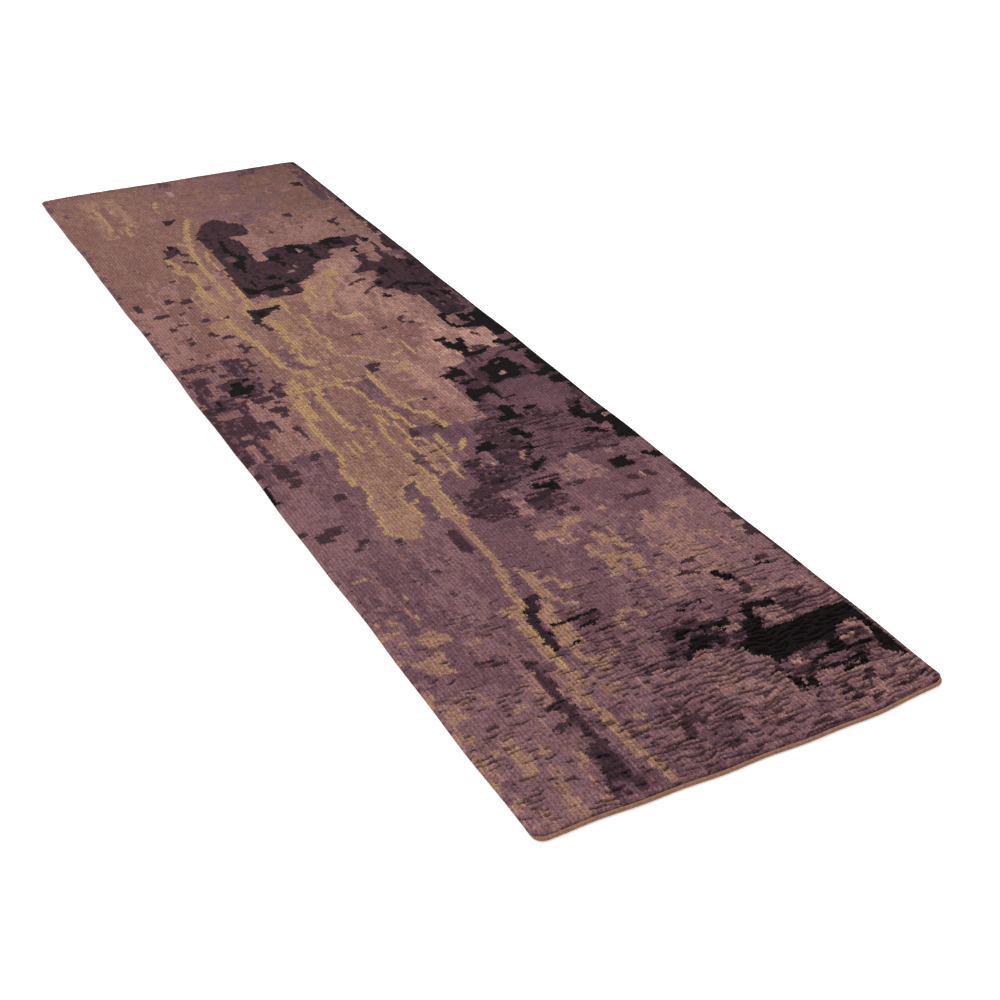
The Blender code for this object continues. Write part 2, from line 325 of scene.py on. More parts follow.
# %% [markdown]
# ## The ground
# The ground passes slowly from plum-mauve at the near end through rose to taupe at the
# far end, as if several dye lots followed each other. Each lot is three or four near
# shades. Lots meet in a wandering edge, so they are drawn first and drift the most.

# %% Ground shades
zone(["mauve", "mauve", "mauve", "heather"], blotch, (-1, -1), (81, -1), (81, 125), (-1, 125))
zone(["heather", "heather", "heather", "rose"], blotch, (-1, -1), (81, -1), (81, 33), (-1, 33), drift=3)
mix("dusk", 0.15, streak, (-1, 36), (20, 34), (22, 76), (-1, 78))
zone(["heather", "clay", "clay"], blotch, (0, 118), (20, 121), (20, 200), (0, 200), drift=1.6)
mix("plum", 0.13, streak, (0, 150), (20, 150), (20, 180), (0, 184))
zone(["clay", "clay", "rose", "rose"], blotch, (0, 172), (30, 172), (30, 232), (0, 226), drift=1.6)
zone(["clay", "taupe", "taupe", "clay"], blotch, (0, 224), (33, 224), (34, 262), (32, 300), (0, 300),
     drift=1.6)
zone(["heather", "clay", "taupe", "clay"], blotch, (33, 252), (80, 250), (80, 301), (30, 301), drift=3)
zone(["heather", "clay", "clay", "taupe"], blotch, (31, 288), (56, 286), (66, 272), (81, 258), (81, 301),
     (31, 301), drift=3.5)
zone(["clay", "rose", "taupe", "rose"], blotch, (40, 218), (80, 218), (80, 254), (46, 262), (40, 250),
     drift=1.6)
zone(["clay", "rose", "taupe", "rose"], blotch, (20, 150), (72, 150), (72, 220), (20, 220), drift=1.6)
zone(["clay", "rose", "rose", "blush"], blotch, (52, 158), (71, 158), (70, 186), (66, 194), (62, 200),
     (66, 212), (62, 222), (52, 216), (48, 190), drift=1.6)
zone(["rose", "blush", "pale_rose"], blotch, (56, 150), (75, 150), (76, 160), (69, 167), (62, 165),
     (55, 156), drift=1.6)
zone(["clay", "clay", "rose"], blotch, (41, 119), (54.7, 119), (54.7, 150), (41, 150), drift=1.6)
zone(["rose", "rose", "blush"], blotch, (47, 150), (50, 128), (50, 118), (54.7, 118), (55, 142),
     (59, 145.3), (63.5, 145.5), (64, 152), (50, 152), drift=1.6)
zone(["plum", "plum", "dusk", "mauve"], blotch, (55, 98), (81, 98), (81, 150), (64, 150), (63.5, 145.4),
     (59, 145), (55, 141.5))
zone(["mauve", "mauve", "heather"], blotch, (54, 75), (81, 75), (81, 96), (54, 93), drift=1.6)
mix("black_plum", 0.25, weft, (41, 82), (56, 82), (58, 112), (48, 112), (42, 100))
zone(["heather", "heather", "rose"], blotch, (52, 44), (81, 36), (81, 75), (58, 66), drift=2.5)
zone(["heather", "heather", "rose"], blotch, (64, 45), (78, 43), (79, 58), (66, 60), drift=1.6)
zone(["mauve", "heather"], blotch, (30, 24), (43, 24), (43, 38), (30, 38), drift=1.6)
zone(["dusk", "mauve", "heather", "heather"], weft, (16, 0), (60, 0), (60, 14), (40, 22), (16, 22))
zone(["heather", "heather", "rose"], weft, (44, 6), (58, 6), (58, 25), (44, 25))
zone(["heather", "heather", "rose"], weft, (60, 0.5), (80, 0.5), (80, 12), (60, 12))
zone(["heather", "rose"], blotch, (66, 35), (73, 28), (78, 27.5), (79.5, 38), (66, 38), drift=1.6)
print("shades in the ground:", [NAMES[i] for i in np.unique(chart)])

# %% [markdown]
# ## The near end
# The near end is deep mauve, crossed by short dark rows, with tan flecks at the left, a
# plum strip and a thin tan line, and one large charcoal bar at the right.

# %% Near end, 0 to 37 cm
paint_each(
    "sand",
    [(0, 33), (1.5, 33), (1.2, 37.5), (0, 37.5)],
    [(1, 31.5), (4, 32), (7, 33.5), (6.5, 32.5), (4.5, 31.5), (4, 30.5), (2, 30.5)],
    [(1, 28), (5.5, 28), (5.5, 29), (4, 30), (1, 30)],
    [(8, 30), (10, 30), (10, 30.8), (8, 30.8)],
    [(11.2, 26.5), (13, 27.6), (14, 27.4), (15, 26), (13, 26.3)],
    [(0, 24), (2, 24), (2, 26.5), (0, 26.5)],
    [(1.5, 23.2), (3.4, 23.4), (3, 25), (1.7, 25)],
    [(5.5, 20), (8.3, 20), (8.3, 21.5), (6, 21.3)],
    [(5.5, 11.7), (8.2, 11.7), (8.3, 19.4), (5.7, 19.6)],
    [(3, 18), (5, 18), (5.2, 20), (3.4, 20)],
    [(0, 15.5), (1.5, 16), (1.5, 20), (0, 20)],
    [(10, 15.2), (12, 15.4), (11.4, 17.6), (10.2, 17)],
    [(14, 10.2), (16.5, 10), (16.5, 12.2), (15.2, 14.6), (14, 14), (15, 12)],
    [(8.4, 5), (9.9, 5), (9.6, 9.6), (8.6, 9.2)],
    [(8, 2), (10, 2.2), (10, 4), (8, 4)],
    [(14, 5.2), (15, 5.2), (15, 9), (14.2, 9)],
    [(0, 7), (3, 7), (3, 8), (0, 8.2)],
    [(3.4, 1.8), (4.6, 1.8), (4.4, 4.2), (3.4, 4)],
    [(28, 15.5), (30, 15.5), (30, 17.4), (28, 17.4)],
    [(27.4, 13.5), (29.5, 13.5), (29.5, 14.6), (27.4, 14.6)],
    [(33.4, 32.5), (35, 32.5), (35, 34), (33.4, 34)],
    [(0, 11), (0.8, 11), (0.8, 14), (0, 14)],
)
paint("taupe", (27.3, 23), (29.6, 23), (29.6, 26.6), (27.3, 26.6))
stroke("sand", 1.7, (23.8, 38), (24.4, 34), (24.8, 31), (25.6, 28))
stroke("gold", 0.9, (24.6, 38), (24.9, 33))
stroke("sand", 1.7, (22.9, 28.2), (23.5, 24), (24, 20), (24, 10))
stroke("sand", 2.1, (24, 10), (25, 6), (25.2, 2))
paint("sand", (27.6, 37.6), (28.6, 37.6), (29.6, 34), (30.6, 32.6), (32.2, 33), (32, 30.8), (33, 29.3),
      (31.2, 29.3), (29.4, 31), (28.8, 33), (27.6, 34.5))
# the plum strip
zone(["plum", "plum", "plum", "dusk"], streak, (19.2, 38), (21.2, 38), (21, 28), (20.4, 20), (20.6, 13),
     (21.2, 10), (21.2, 4), (22, 3.4), (22, 1.4), (15, 1.4), (15.4, 4), (16.6, 6), (16, 12), (18.6, 14),
     (18.8, 20), (18.2, 24), (18.8, 30))
zone(["black_plum", "plum"], weft, (17, 12.6), (19, 12.6), (21, 10), (20.6, 5), (16.4, 5), (16.6, 9))
stroke("plum", 1.2, (15.8, 19.2), (18, 20.6), (20, 21.4))
stroke("plum", 1.4, (17, 24.6), (19.6, 25.6))
# plum and charcoal in the middle and at the right
paint("plum", (33.6, 13), (35.6, 14), (37.4, 12.6), (38.2, 11), (37, 9.8), (35.2, 10.8), (34.2, 8),
      (32.6, 8.4), (33.4, 10.4))
block("plum", 40.4, 43.8, 8.6, 9.6)
zone(["dusk", "plum"], weft, (37.6, 3), (41, 3), (41, 6), (38, 6))
zone(["plum", "plum", "black_plum", "dusk"], weft, (44, 35), (52, 35), (53, 33.4), (57, 33.4), (57.6, 30),
     (60, 31), (62, 28), (60, 24.6), (54, 24), (50, 25.4), (47, 27), (44, 24.4), (42, 28), (42, 31),
     (44.4, 32))
zone(["plum", "dusk"], weft, (35, 24.6), (44, 24.4), (44, 27.8), (36, 27))
paint_each(
    "charcoal",
    [(45.4, 31), (45.8, 33), (48.6, 33), (49, 32), (47.4, 31)],
    [(50.8, 33), (53, 32.4), (57, 33), (57.4, 30.2), (55, 30.2), (54.6, 31.6), (52, 31.4)],
    [(47, 30.2), (50, 31), (52, 30), (53.6, 28), (50, 28), (49.8, 26), (47.2, 26), (47, 28.4)],
    [(43.8, 25), (44, 26.6), (46.2, 27), (45.6, 25), (44.6, 24.4)],
    [(60.6, 33), (62, 34.6), (64, 34.6), (66, 33.6), (67.6, 34), (67.8, 32.2), (65, 32), (63.4, 33),
     (62.4, 32), (62.4, 27), (60.4, 27), (60.4, 31)],
    [(56.4, 14.6), (57.8, 14), (58.2, 12.8), (60.4, 12.8), (60.4, 10), (57, 9.6), (56.4, 11)],
    [(58, 25), (60, 25), (61, 30), (59, 30.6), (57.8, 28)],
)
paint("heather", (57.9, 11), (58.2, 12.3), (58.9, 12.2), (58.7, 11))
paint("rose", (52.8, 30), (55, 30), (55, 31.2), (52.8, 31.2))
paint("rose", (54.2, 28.4), (57.6, 28.2), (57.8, 30), (55, 30))
zone(["heather", "rose"], streak, (62.6, 28.4), (65, 28.4), (65, 32), (63.6, 33), (62.6, 32))
zone(["heather", "rose"], streak, (65, 27), (67.6, 27), (67.6, 31.6), (65, 31.6))
zone(["dusk", "mauve", "plum"], weft, (67.6, 28), (73.4, 27.6), (75, 32), (76, 35), (71, 35), (68, 33))
# the large charcoal bar
zone(["plum", "dusk", "mauve"], weft, (54, 25), (57, 26), (57.6, 20), (56, 19), (56, 16), (60, 13),
     (60, 11.8), (77, 11.6), (77, 23), (60, 26), (52.4, 25))
paint("charcoal", (57.8, 26.6), (60, 26.4), (70, 27), (79.2, 27.6), (79.2, 9), (77, 10.4), (76, 12),
      (76.4, 15), (77.6, 17), (77.8, 20), (77.4, 22), (75.6, 22.8), (73, 22), (72, 20), (70, 19),
      (66, 19.6), (63, 19), (60, 18.4), (58, 17.6), (57, 18.2), (57, 20), (55, 21), (54, 24), (55, 25.4))
stroke("charcoal", 1.1, (63, 13), (68, 12.4), (72, 13))
stroke("charcoal", 1.0, (62.4, 15), (66, 15.6), (70, 16), (75, 15.4))
paint("charcoal", (67.6, 16.6), (71, 16), (71, 19), (68.6, 19.4))
stroke("charcoal", 0.9, (66.4, 10.6), (71.4, 11))
stroke("black_plum", 0.9, (72, 14), (76, 13))
zone(["heather", "rose"], weft, (73, 20), (76.6, 20), (77, 22), (75.4, 22.6), (73.4, 21.8))
zone(["rose", "blush"], weft, (70.6, 17.8), (74, 17.8), (74, 19), (71, 19))
mix("blush", 0.45, streak, (60, 15.2), (63, 15.2), (63.2, 17.8), (60, 17.6))
paint("black_plum", (55, 16), (57, 16), (57, 17.4), (55.2, 17.2))
zone(["heather", "clay"], weft, (72, 9.6), (76, 10.6), (76, 13), (74, 15), (73, 12))
mix("plum", 0.5, weft, (61, 4), (65, 4), (65, 9), (61.4, 8.6))
paint("plum", (68, 6.2), (70.4, 6.2), (70.6, 9), (68.2, 8.8))
paint("dusk", (73, 6), (74.4, 6), (74.2, 9.4), (73.2, 9))
stroke("plum", 0.8, (72, 2.4), (75.4, 3), (79, 3.6))
block("plum", 65, 68, 2.4, 3.4)
block("dusk", 70, 73, 4.8, 6)
tally()

# %% [markdown]
# ## Flecks and the thin line
# Above the bar the tan flecks thicken into small hooks and arches, and the thin line
# climbs beside a dark dash. All are only one or two knots wide.

# %% 37 to 75 cm
paint_each(
    "sand",
    [(1.5, 45), (5, 45.4), (7.4, 47), (8, 44), (7.4, 41.6), (8.6, 40.4), (4, 41), (3, 43)],
    [(0, 45.6), (1.2, 45.6), (1.4, 47.4), (0, 47.6)],
    [(5.4, 52.4), (9.4, 53), (10, 51), (11.6, 50), (11.6, 48.4), (10, 49), (8.4, 48.4), (6, 48), (6, 50)],
    [(2.5, 50), (4, 50), (4, 51.6), (2.5, 51.6)],
    [(0, 54), (4, 54), (4.2, 55), (0, 55)],
    [(12.5, 45.8), (13, 47), (14.6, 47.2), (16, 46), (15.4, 45.3)],
    [(14.2, 53.4), (15.6, 53.4), (15.6, 54.4), (14.2, 54.4)],
    [(9, 63.4), (10, 63.4), (10, 65), (9, 65)],
    [(1, 56.8), (1.7, 56.8), (1.7, 61), (1, 61)],
    [(3.5, 56.4), (5, 56.4), (5, 57.4), (4.3, 58), (4.3, 61), (3.6, 61)],
    [(7, 58), (7.9, 58), (7.7, 61.2), (7, 61.2)],
    [(7.5, 58.6), (8.4, 58.4), (9.4, 57.2), (9.2, 56.3), (8, 56.4)],
    [(2, 71.7), (5.5, 71.7), (5.4, 73.3), (2.4, 73.4)],
)
# left of the dark dash
paint("sand", (22, 52.4), (24, 53), (26, 52.6), (27.6, 52.2), (27, 50.6), (25.4, 49), (25.2, 46), (25, 37),
      (22.8, 37), (23, 47), (24, 48), (22.8, 50))
# the thin line, which climbs out of it
paint("sand", (28.7, 76), (30.1, 76), (29.9, 66), (29.6, 64), (29, 61), (28, 58), (27.8, 55), (27.5, 52),
      (25.8, 52), (25.7, 56), (26.6, 60), (27.4, 65), (28.4, 68))
# right of the dark dash
paint_each(
    "sand",
    [(27.6, 37), (31.8, 37), (31.8, 40), (31.4, 44), (30.8, 46), (31.2, 48), (31.6, 51), (31, 52.6),
     (29.8, 51), (28, 48), (27.8, 44), (27.2, 41)],
    [(31, 52), (32.4, 52), (33.4, 53), (33, 54.6), (33.4, 56), (35, 57), (36, 56), (36, 53.4), (37.2, 53),
     (38.3, 54.6), (37, 55.6), (36.8, 57.6), (36, 58.4), (33, 57.6), (33.4, 59), (34.6, 60.6), (33, 61),
     (32, 63), (31, 65.2), (31, 60), (31.2, 56)],
    [(33, 52), (34, 51.4), (35, 50), (37, 49), (37.2, 48.2), (35.4, 48.4), (34.4, 49.4), (33.4, 50.4),
     (32, 51.4)],
)
# the arch, the hooks and the flecks on the right
paint_each(
    "sand",
    [(38.8, 38), (39.4, 42), (41, 43.6), (44, 43.6), (45, 41.6), (46, 40.2), (45.4, 39.2), (43.8, 40),
     (43.6, 41.4), (41.8, 41.6), (41.2, 40), (40.6, 38)],
    [(47.3, 49), (48.2, 50.6), (50, 50.2), (50, 49.6), (48.6, 49.4), (48, 48.8)],
    [(46, 52), (46.6, 54), (47.6, 56), (47.8, 59), (49, 60), (51.6, 60), (53, 58.6), (54, 57.6), (55, 56.2),
     (55, 55.2), (53.8, 55.4), (53.6, 51.2), (51.4, 51.2), (51.5, 54), (52.4, 56), (52, 57), (50, 57),
     (49.8, 55), (49, 53), (47.5, 52.2)],
    [(45.3, 60), (46.5, 62), (46.8, 65), (47.5, 65), (48.2, 62.4), (48.7, 60.6), (48, 60)],
    [(50.3, 68), (51.5, 68.6), (51.6, 67), (52.5, 65.4), (54, 65.4), (54, 68.2), (54.9, 68.2), (54.8, 65),
     (54.5, 62), (55.4, 60.4), (54, 60), (52.5, 60.6), (52, 62), (50.2, 62.4), (50.4, 65)],
    [(39.8, 69.8), (40.4, 72), (41, 73.1), (42.5, 72.6), (43, 71.4), (46, 71.4), (46.3, 73.4), (49, 74.1),
     (51.6, 74), (51.4, 72), (47, 71.9), (46.5, 70.5), (47, 69.5), (47, 66.4), (46, 65.4), (45.5, 67.4),
     (45, 69.2), (42, 69.2)],
    [(62.5, 65), (64.2, 65), (64.4, 70), (63, 70.2)],
    [(69, 69), (69.6, 70.6), (70.6, 70.2), (71.2, 69.2), (70, 68.8), (69.4, 67), (68.7, 67)],
    [(59, 55.7), (60.6, 57.6), (63, 57.4), (63.4, 55.8), (60, 55.4)],
    [(69, 59), (70, 59.6), (71.4, 57.6), (71.2, 56.4), (70, 56), (69, 57)],
    [(55.4, 73.6), (58.4, 73.8), (58, 75), (55.8, 74.8)],
)
stroke("blush", 0.7, (44.6, 66.3), (43.2, 66.8), (43.2, 68), (44.4, 68.2))
stroke("sand", 0.6, (67, 66.4), (68, 67))
stroke("gold", 0.9, (28.6, 54), (27.4, 53), (26.6, 51), (25.6, 49.4))
stroke("gold", 0.7, (24.9, 46), (24.9, 37.5))
paint("black_plum", (28, 53), (28.5, 54), (30, 54.9), (31.1, 54.6), (31.1, 52.3), (29.5, 52), (29.4, 50),
      (28, 48.4), (28, 46), (27, 45.4), (27, 40.4), (27.5, 38), (25, 37.4), (25.2, 45), (25.5, 49),
      (27, 51))
mix("charcoal", 0.3, weft, (25, 37.5), (31, 54), (28, 46), (27, 38))
zone(["plum", "dusk"], weft, (33, 42.4), (38.6, 42.6), (38.4, 45.6), (33, 45.2))
stroke("charcoal", 0.7, (28.6, 44.4), (33, 44.6), (38.2, 45.2))
stroke("charcoal", 0.8, (33.4, 42), (36.6, 42.2))
stroke("black_plum", 0.7, (35, 39.6), (38, 39.9))
paint("charcoal", (29, 37.6), (31, 37.6), (31.4, 39), (29.6, 39.5))
paint_each(
    "plum",
    [(11.5, 39.8), (14.5, 40), (14.4, 41), (12, 41)],
    [(13.6, 38.2), (16.6, 38), (17, 39.6), (15, 40.3)],
    [(25.4, 76), (28, 76), (27.8, 72), (27, 70.9), (26, 72)],
    [(17, 69.6), (18.6, 70), (19, 68.2), (18, 67.8)],
    [(57.4, 47), (60, 46.9), (60.2, 48.5), (57.8, 48.6)],
    [(60, 46.5), (61.2, 46.5), (61.2, 47.5), (60, 47.5)],
    [(65, 37), (67, 37), (67, 41), (65.4, 41)],
    [(60, 50), (63.4, 50), (63.2, 51.4), (60.4, 51.6)],
    [(72.4, 45.2), (75.8, 45), (75.4, 46.4), (72.6, 46.5)],
    [(52, 38.4), (55, 38.6), (55, 39.6), (52, 39.5)],
    [(76.8, 53), (80, 52.4), (80, 56.6), (77.6, 56.6)],
    [(77.4, 58.4), (80, 58.4), (80, 62), (78, 61.6)],
    [(78, 63), (80, 63), (80, 66), (78.2, 65.6)],
    [(77.4, 72), (78.6, 70), (80, 70), (80, 76), (77, 76)],
    [(79.1, 40), (80, 40), (80, 76), (79.1, 76)],
)
paint_each(
    "charcoal",
    [(62.5, 44), (64.6, 44.4), (64.4, 46), (62.8, 45.6)],
    [(63.4, 42.2), (66, 42), (66.2, 43.6), (64, 44)],
    [(71.5, 43.6), (75, 43.8), (75, 44.4), (71.5, 44.3)],
    [(50.5, 37.4), (52, 37.4), (52, 38.6), (50.6, 38.4)],
    [(55, 38), (56.6, 38), (56.6, 39.2), (55.2, 39)],
    [(60.4, 39.6), (62, 39.6), (62, 40.5), (60.6, 40.4)],
)
zone(["dusk", "mauve"], weft, (19.8, 67), (18.2, 68), (19, 69), (20.4, 67.6))
tally()

# %% [markdown]
# ## The foot of the long tongue
# A tan tongue edged in gold starts here, with a narrow stalk beside it. Dark plum rows
# and charcoal steps fill the right half.

# %% 75 to 112 cm
zone(["mauve", "heather", "heather"], blotch, (0, 76), (16, 80), (16, 112), (0, 112))
zone(["plum", "plum", "dusk", "black_plum"], weft, (31.4, 84), (33.4, 88), (36, 91.6), (40, 93.4),
     (40, 100), (41, 104), (46, 104), (48, 106), (50, 113), (56, 113), (58, 104), (56, 98), (54.6, 93),
     (46, 90), (45, 84), (53, 83.6), (53, 79), (45, 78.4), (36, 78), (34, 81))
zone(["plum", "dusk", "mauve", "dusk"], weft, (55, 94), (80, 96), (80, 113), (55, 113))
zone(["dusk", "mauve"], weft, (33, 75), (45, 75), (42, 79), (34, 79))
zone(["heather", "mauve", "rose"], streak, (41.6, 78), (45, 77.8), (45.2, 86), (45.2, 89.2), (41.4, 89),
     (42, 84))
paint("sand", (17, 113), (17, 105), (18.4, 103), (18, 98), (16.8, 97.6), (16.4, 90), (15.3, 88),
      (15.5, 84.5), (17, 83), (18, 81.5), (20, 80.8), (21, 81), (21.5, 83), (23, 84.5), (23.7, 86),
      (24.4, 88), (24.6, 91), (24.5, 93), (23.5, 93.5), (23.5, 95), (24.9, 97), (24.6, 98.5), (26, 100),
      (28, 102.2), (28.8, 102), (28.5, 95), (28.3, 91), (27.8, 88), (27.3, 86), (28.5, 85), (28.5, 75),
      (30.3, 75), (30.3, 80), (31, 82), (32.2, 82.5), (31.5, 84), (30.8, 85), (31, 88), (31.8, 90),
      (31.3, 93), (32, 96), (32.5, 99), (33, 100), (32.4, 103), (32.1, 108), (33, 113))
zone(["taupe", "taupe", "sand"], streak, (18, 113), (18, 105), (19.4, 103), (19, 98), (18, 97.6), (18, 93),
     (22.4, 93), (22.4, 97), (24, 99), (28, 103), (31, 103), (31, 113))
paint("sand", (34.5, 113), (34.7, 104), (35, 101), (36, 100.4), (37.4, 102), (38, 98.6), (36.8, 98),
      (38.6, 97), (38.5, 100), (39.4, 103), (39.3, 113))
zone(["taupe", "sand"], streak, (35.4, 113), (35.4, 103), (38.4, 103), (38.4, 113))
for line in (
    [(17.1, 113), (17.1, 105), (18.4, 103), (18.1, 98), (16.9, 97.4), (16.5, 90), (15.5, 88), (15.7, 84.6),
     (17.2, 82.9)],
    [(23.3, 95.4), (23.6, 91), (24.4, 88)],
    [(24.5, 92.6), (26, 93.8)],
    [(24.3, 97.4), (26, 100), (28.4, 102.1), (28.5, 95), (28.1, 91), (27.5, 87), (27.6, 85.6)],
    [(32, 112.5), (31.9, 105), (32.8, 100), (31.6, 95), (31.4, 90), (30.8, 85), (31.4, 83)],
    [(34.8, 113), (34.8, 104), (35, 101)],
    [(39, 113), (39, 104), (38.2, 101), (38.3, 97.3)],
):
    stroke("gold", 0.9, *line)
paint("mauve", (36.4, 104.4), (38, 104.4), (38, 106.6), (36.4, 106.6))
block("mauve", 36.5, 37.4, 102.4, 103.4)
zone(["dusk", "mauve"], streak, (32.6, 113), (32.3, 108), (33.2, 100), (34.6, 101), (34.4, 113))
zone(["dusk", "mauve"], streak, (25.2, 99), (28, 101.4), (28.1, 92), (27, 85), (24, 85), (24.8, 91),
     (26.4, 94), (24.6, 95))
stroke("gold", 0.7, (40.7, 113), (40.9, 108))
paint("gold", (42.4, 108.3), (43, 110), (44.5, 112), (46, 112.4), (45, 110), (44.4, 108.5))
paint("sand", (42.6, 99.6), (44.4, 100), (44.6, 101), (43, 101))
paint("blush", (46, 98.6), (47.4, 99), (47.2, 101.6), (46, 101))
zone(["mauve", "heather"], streak, (44.6, 100), (47.4, 100), (47.4, 105), (44.6, 104.6))
paint_each(
    "charcoal",
    [(45, 105), (46, 107.5), (48, 109), (50.3, 109), (50.3, 105.3), (47, 105)],
    [(55, 111), (58, 111.6), (58, 109.6), (59.9, 108.6), (59.6, 106.4), (57.5, 106.4), (57, 108.5),
     (55, 109.5)],
    [(54.7, 104), (57.4, 104), (57.3, 102), (55, 101)],
    [(53, 100), (56, 100.6), (56, 99.2), (53.4, 99.4)],
    [(51.4, 93.4), (52.5, 95.6), (54, 97), (57.1, 97.6), (57, 95.9), (54.5, 95), (52.6, 92.9)],
    [(43.2, 91.8), (44, 93.6), (44.8, 93.4), (44.2, 92)],
    [(48.2, 87), (49, 89.1), (51, 88.6), (51.4, 87.8), (53.9, 88.1), (54, 85.4), (51.5, 85.4), (50.5, 86.4),
     (48.4, 86.3)],
    [(75.5, 90.6), (77, 90.2), (79.4, 88.6), (80, 87.8), (80, 86.6), (78.4, 86.9), (76.4, 88.6)],
    [(75.6, 100), (76, 102), (76.6, 105), (80, 107), (80, 95), (78, 96.5), (75.6, 98)],
    [(74, 109), (74.5, 105), (77, 105), (80, 106), (80, 110.6), (75, 110)],
    [(72, 113), (75, 113), (75.2, 109), (73.6, 108.4), (71.6, 109.4)],
    [(69.4, 103.5), (71, 104.4), (73, 103.6), (74, 102.6), (76, 101.6), (73, 100.9), (72.4, 102.4),
     (70, 102.5)],
    [(0, 105), (1, 105), (1, 113), (0, 113)],
)
block("rose", 77.4, 80, 107.4, 108.8)
block("heather", 74.6, 76.6, 102.2, 104.6)
paint_each(
    "plum",
    [(5.4, 109.4), (8, 109.4), (8, 113), (5.4, 113)],
    [(11, 102), (12, 103.6), (13.8, 103), (14.2, 100.4), (12, 100), (11.6, 101)],
    [(2.6, 86.6), (5.4, 87), (5.6, 91.4), (2.4, 91)],
    [(5.4, 89), (8.8, 89), (8.6, 92), (5.8, 91.6)],
    [(0, 91), (2, 91.2), (1.4, 93.4), (0, 93.4)],
    [(8.7, 83), (11.6, 83.4), (11.4, 85.4), (9, 85.4)],
    [(7, 81.6), (9, 81.8), (9, 83), (7.2, 83)],
    [(15.4, 80.4), (17, 80.4), (17, 82), (15.6, 82)],
    [(25, 75), (27.9, 75), (27.8, 80), (26, 80.4), (25.2, 78)],
    [(33, 90.4), (34.6, 90.6), (34.4, 92.6), (33.2, 92.4)],
    [(56.6, 84.2), (60.2, 84.6), (60, 86.4), (57, 86)],
    [(67.8, 80.8), (70.2, 81), (70, 83.4), (68, 83.4)],
    [(72.2, 80.6), (74, 80.6), (74, 83.4), (72.4, 83)],
    [(48, 75.6), (50, 75.4), (50, 78), (48.2, 78)],
    [(51, 75), (53, 75), (53, 77.6), (51, 77.4)],
    [(63.4, 75), (69.2, 75), (69, 76.6), (63.6, 76.6)],
    [(77.8, 76), (80, 75), (80, 83), (78, 82.6)],
    [(39.6, 75), (41.6, 75), (41.4, 76.2), (40, 76)],
)
mix("dusk", 0.5, weft, (66, 84), (76, 84), (76, 91), (66, 91))
paint("charcoal", (68, 85.8), (68, 90), (70, 90.5), (72.1, 90.3), (71.5, 88.5), (72.4, 86.9), (70, 85.9))
zone(["heather", "rose", "rose"], streak, (55.8, 87), (56.6, 92.4), (57.6, 92), (58, 88.4), (59, 92),
     (61, 96), (62.6, 97.4), (63.2, 94.6), (64.5, 92), (66, 87), (64.4, 83.4), (62, 86), (60, 86))
paint("blush", (61.8, 95), (63.2, 95), (63, 96.6), (62, 96.4))
paint("rose", (69.8, 92.4), (71.4, 92.4), (71.4, 94.6), (70, 94.6))
paint("blush", (70.6, 81.2), (72, 81.4), (71.8, 83), (70.8, 82.8))
stroke("rose", 0.8, (52.8, 98.6), (53, 100), (53.8, 101.6))
tally()

# %% [markdown]
# ## The tongue and the dark steps
# The tongue is streaked with gold, with plum at its left. The charcoal steps at the right
# turn square corners, as a knotted key pattern does.

# %% 112 to 150 cm
zone(["dusk", "mauve", "heather"], streak, (0, 112.5), (18, 112.5), (18.4, 121), (0, 121))
zone(["plum", "plum", "dusk", "plum"], streak, (0, 150), (10, 150), (9.5, 146), (9, 144), (9, 140),
     (12, 139), (12.6, 135), (9.4, 134), (8.5, 130.6), (6.5, 132), (6.3, 121), (0, 121))
zone(["heather", "clay"], streak, (2, 143.4), (7.4, 143.4), (7.4, 146.4), (2, 146.4))
zone(["heather", "rose"], streak, (3, 132.4), (5.6, 132.4), (5.4, 134.6), (3.2, 134.6))
zone(["heather", "rose"], streak, (3, 122.4), (4.7, 122.4), (4.7, 130.2), (3, 130.2))
zone(["heather", "clay"], streak, (1, 121.4), (4, 121.2), (4, 122.6), (1, 122.4))
zone(["clay", "rose", "rose"], streak, (6.3, 121), (16.6, 121), (17.6, 122), (18.2, 128), (18, 133),
     (19, 136), (19, 144), (20, 148), (16, 150), (10, 150), (10, 146), (9.2, 142), (9.4, 139),
     (12.2, 138.6), (12.4, 134.6), (10, 134.6), (8.6, 130.4), (6.6, 131.8))
paint_each(
    "plum",
    [(12.7, 143), (14, 144.4), (17.4, 143), (17.2, 141), (15.8, 139), (14, 138.4), (15, 141), (13.5, 142)],
    [(11.8, 145), (13.2, 145), (13.3, 146.9), (11.8, 146.9)],
    [(16, 145.3), (17.6, 145.3), (17.6, 147), (16, 147)],
    [(11.4, 147.6), (16, 147.6), (16, 150), (11.4, 150)],
    [(17, 148), (20, 148), (20, 150.6), (17, 150.6)],
    [(15, 131), (16.3, 131), (16.3, 134.2), (15, 134)],
    [(15.6, 127.4), (16.3, 127.4), (16.3, 131), (15.6, 131)],
    [(11.4, 132), (12.4, 132), (12.6, 135), (11.5, 135)],
    [(4.6, 113), (7, 113), (7, 119.6), (4.6, 120.4)],
    [(13.4, 118), (15, 118), (15.4, 121.4), (13.4, 121)],
    [(9.4, 118), (10.3, 118), (10.3, 119.6), (9.4, 119.6)],
    [(0, 116), (2, 116), (2, 118.6), (0, 118.4)],
    [(7, 113.8), (9, 113.8), (9, 115.6), (7, 115.4)],
)
paint("black_plum", (2, 147.4), (5, 147.4), (5, 149.4), (2, 149))
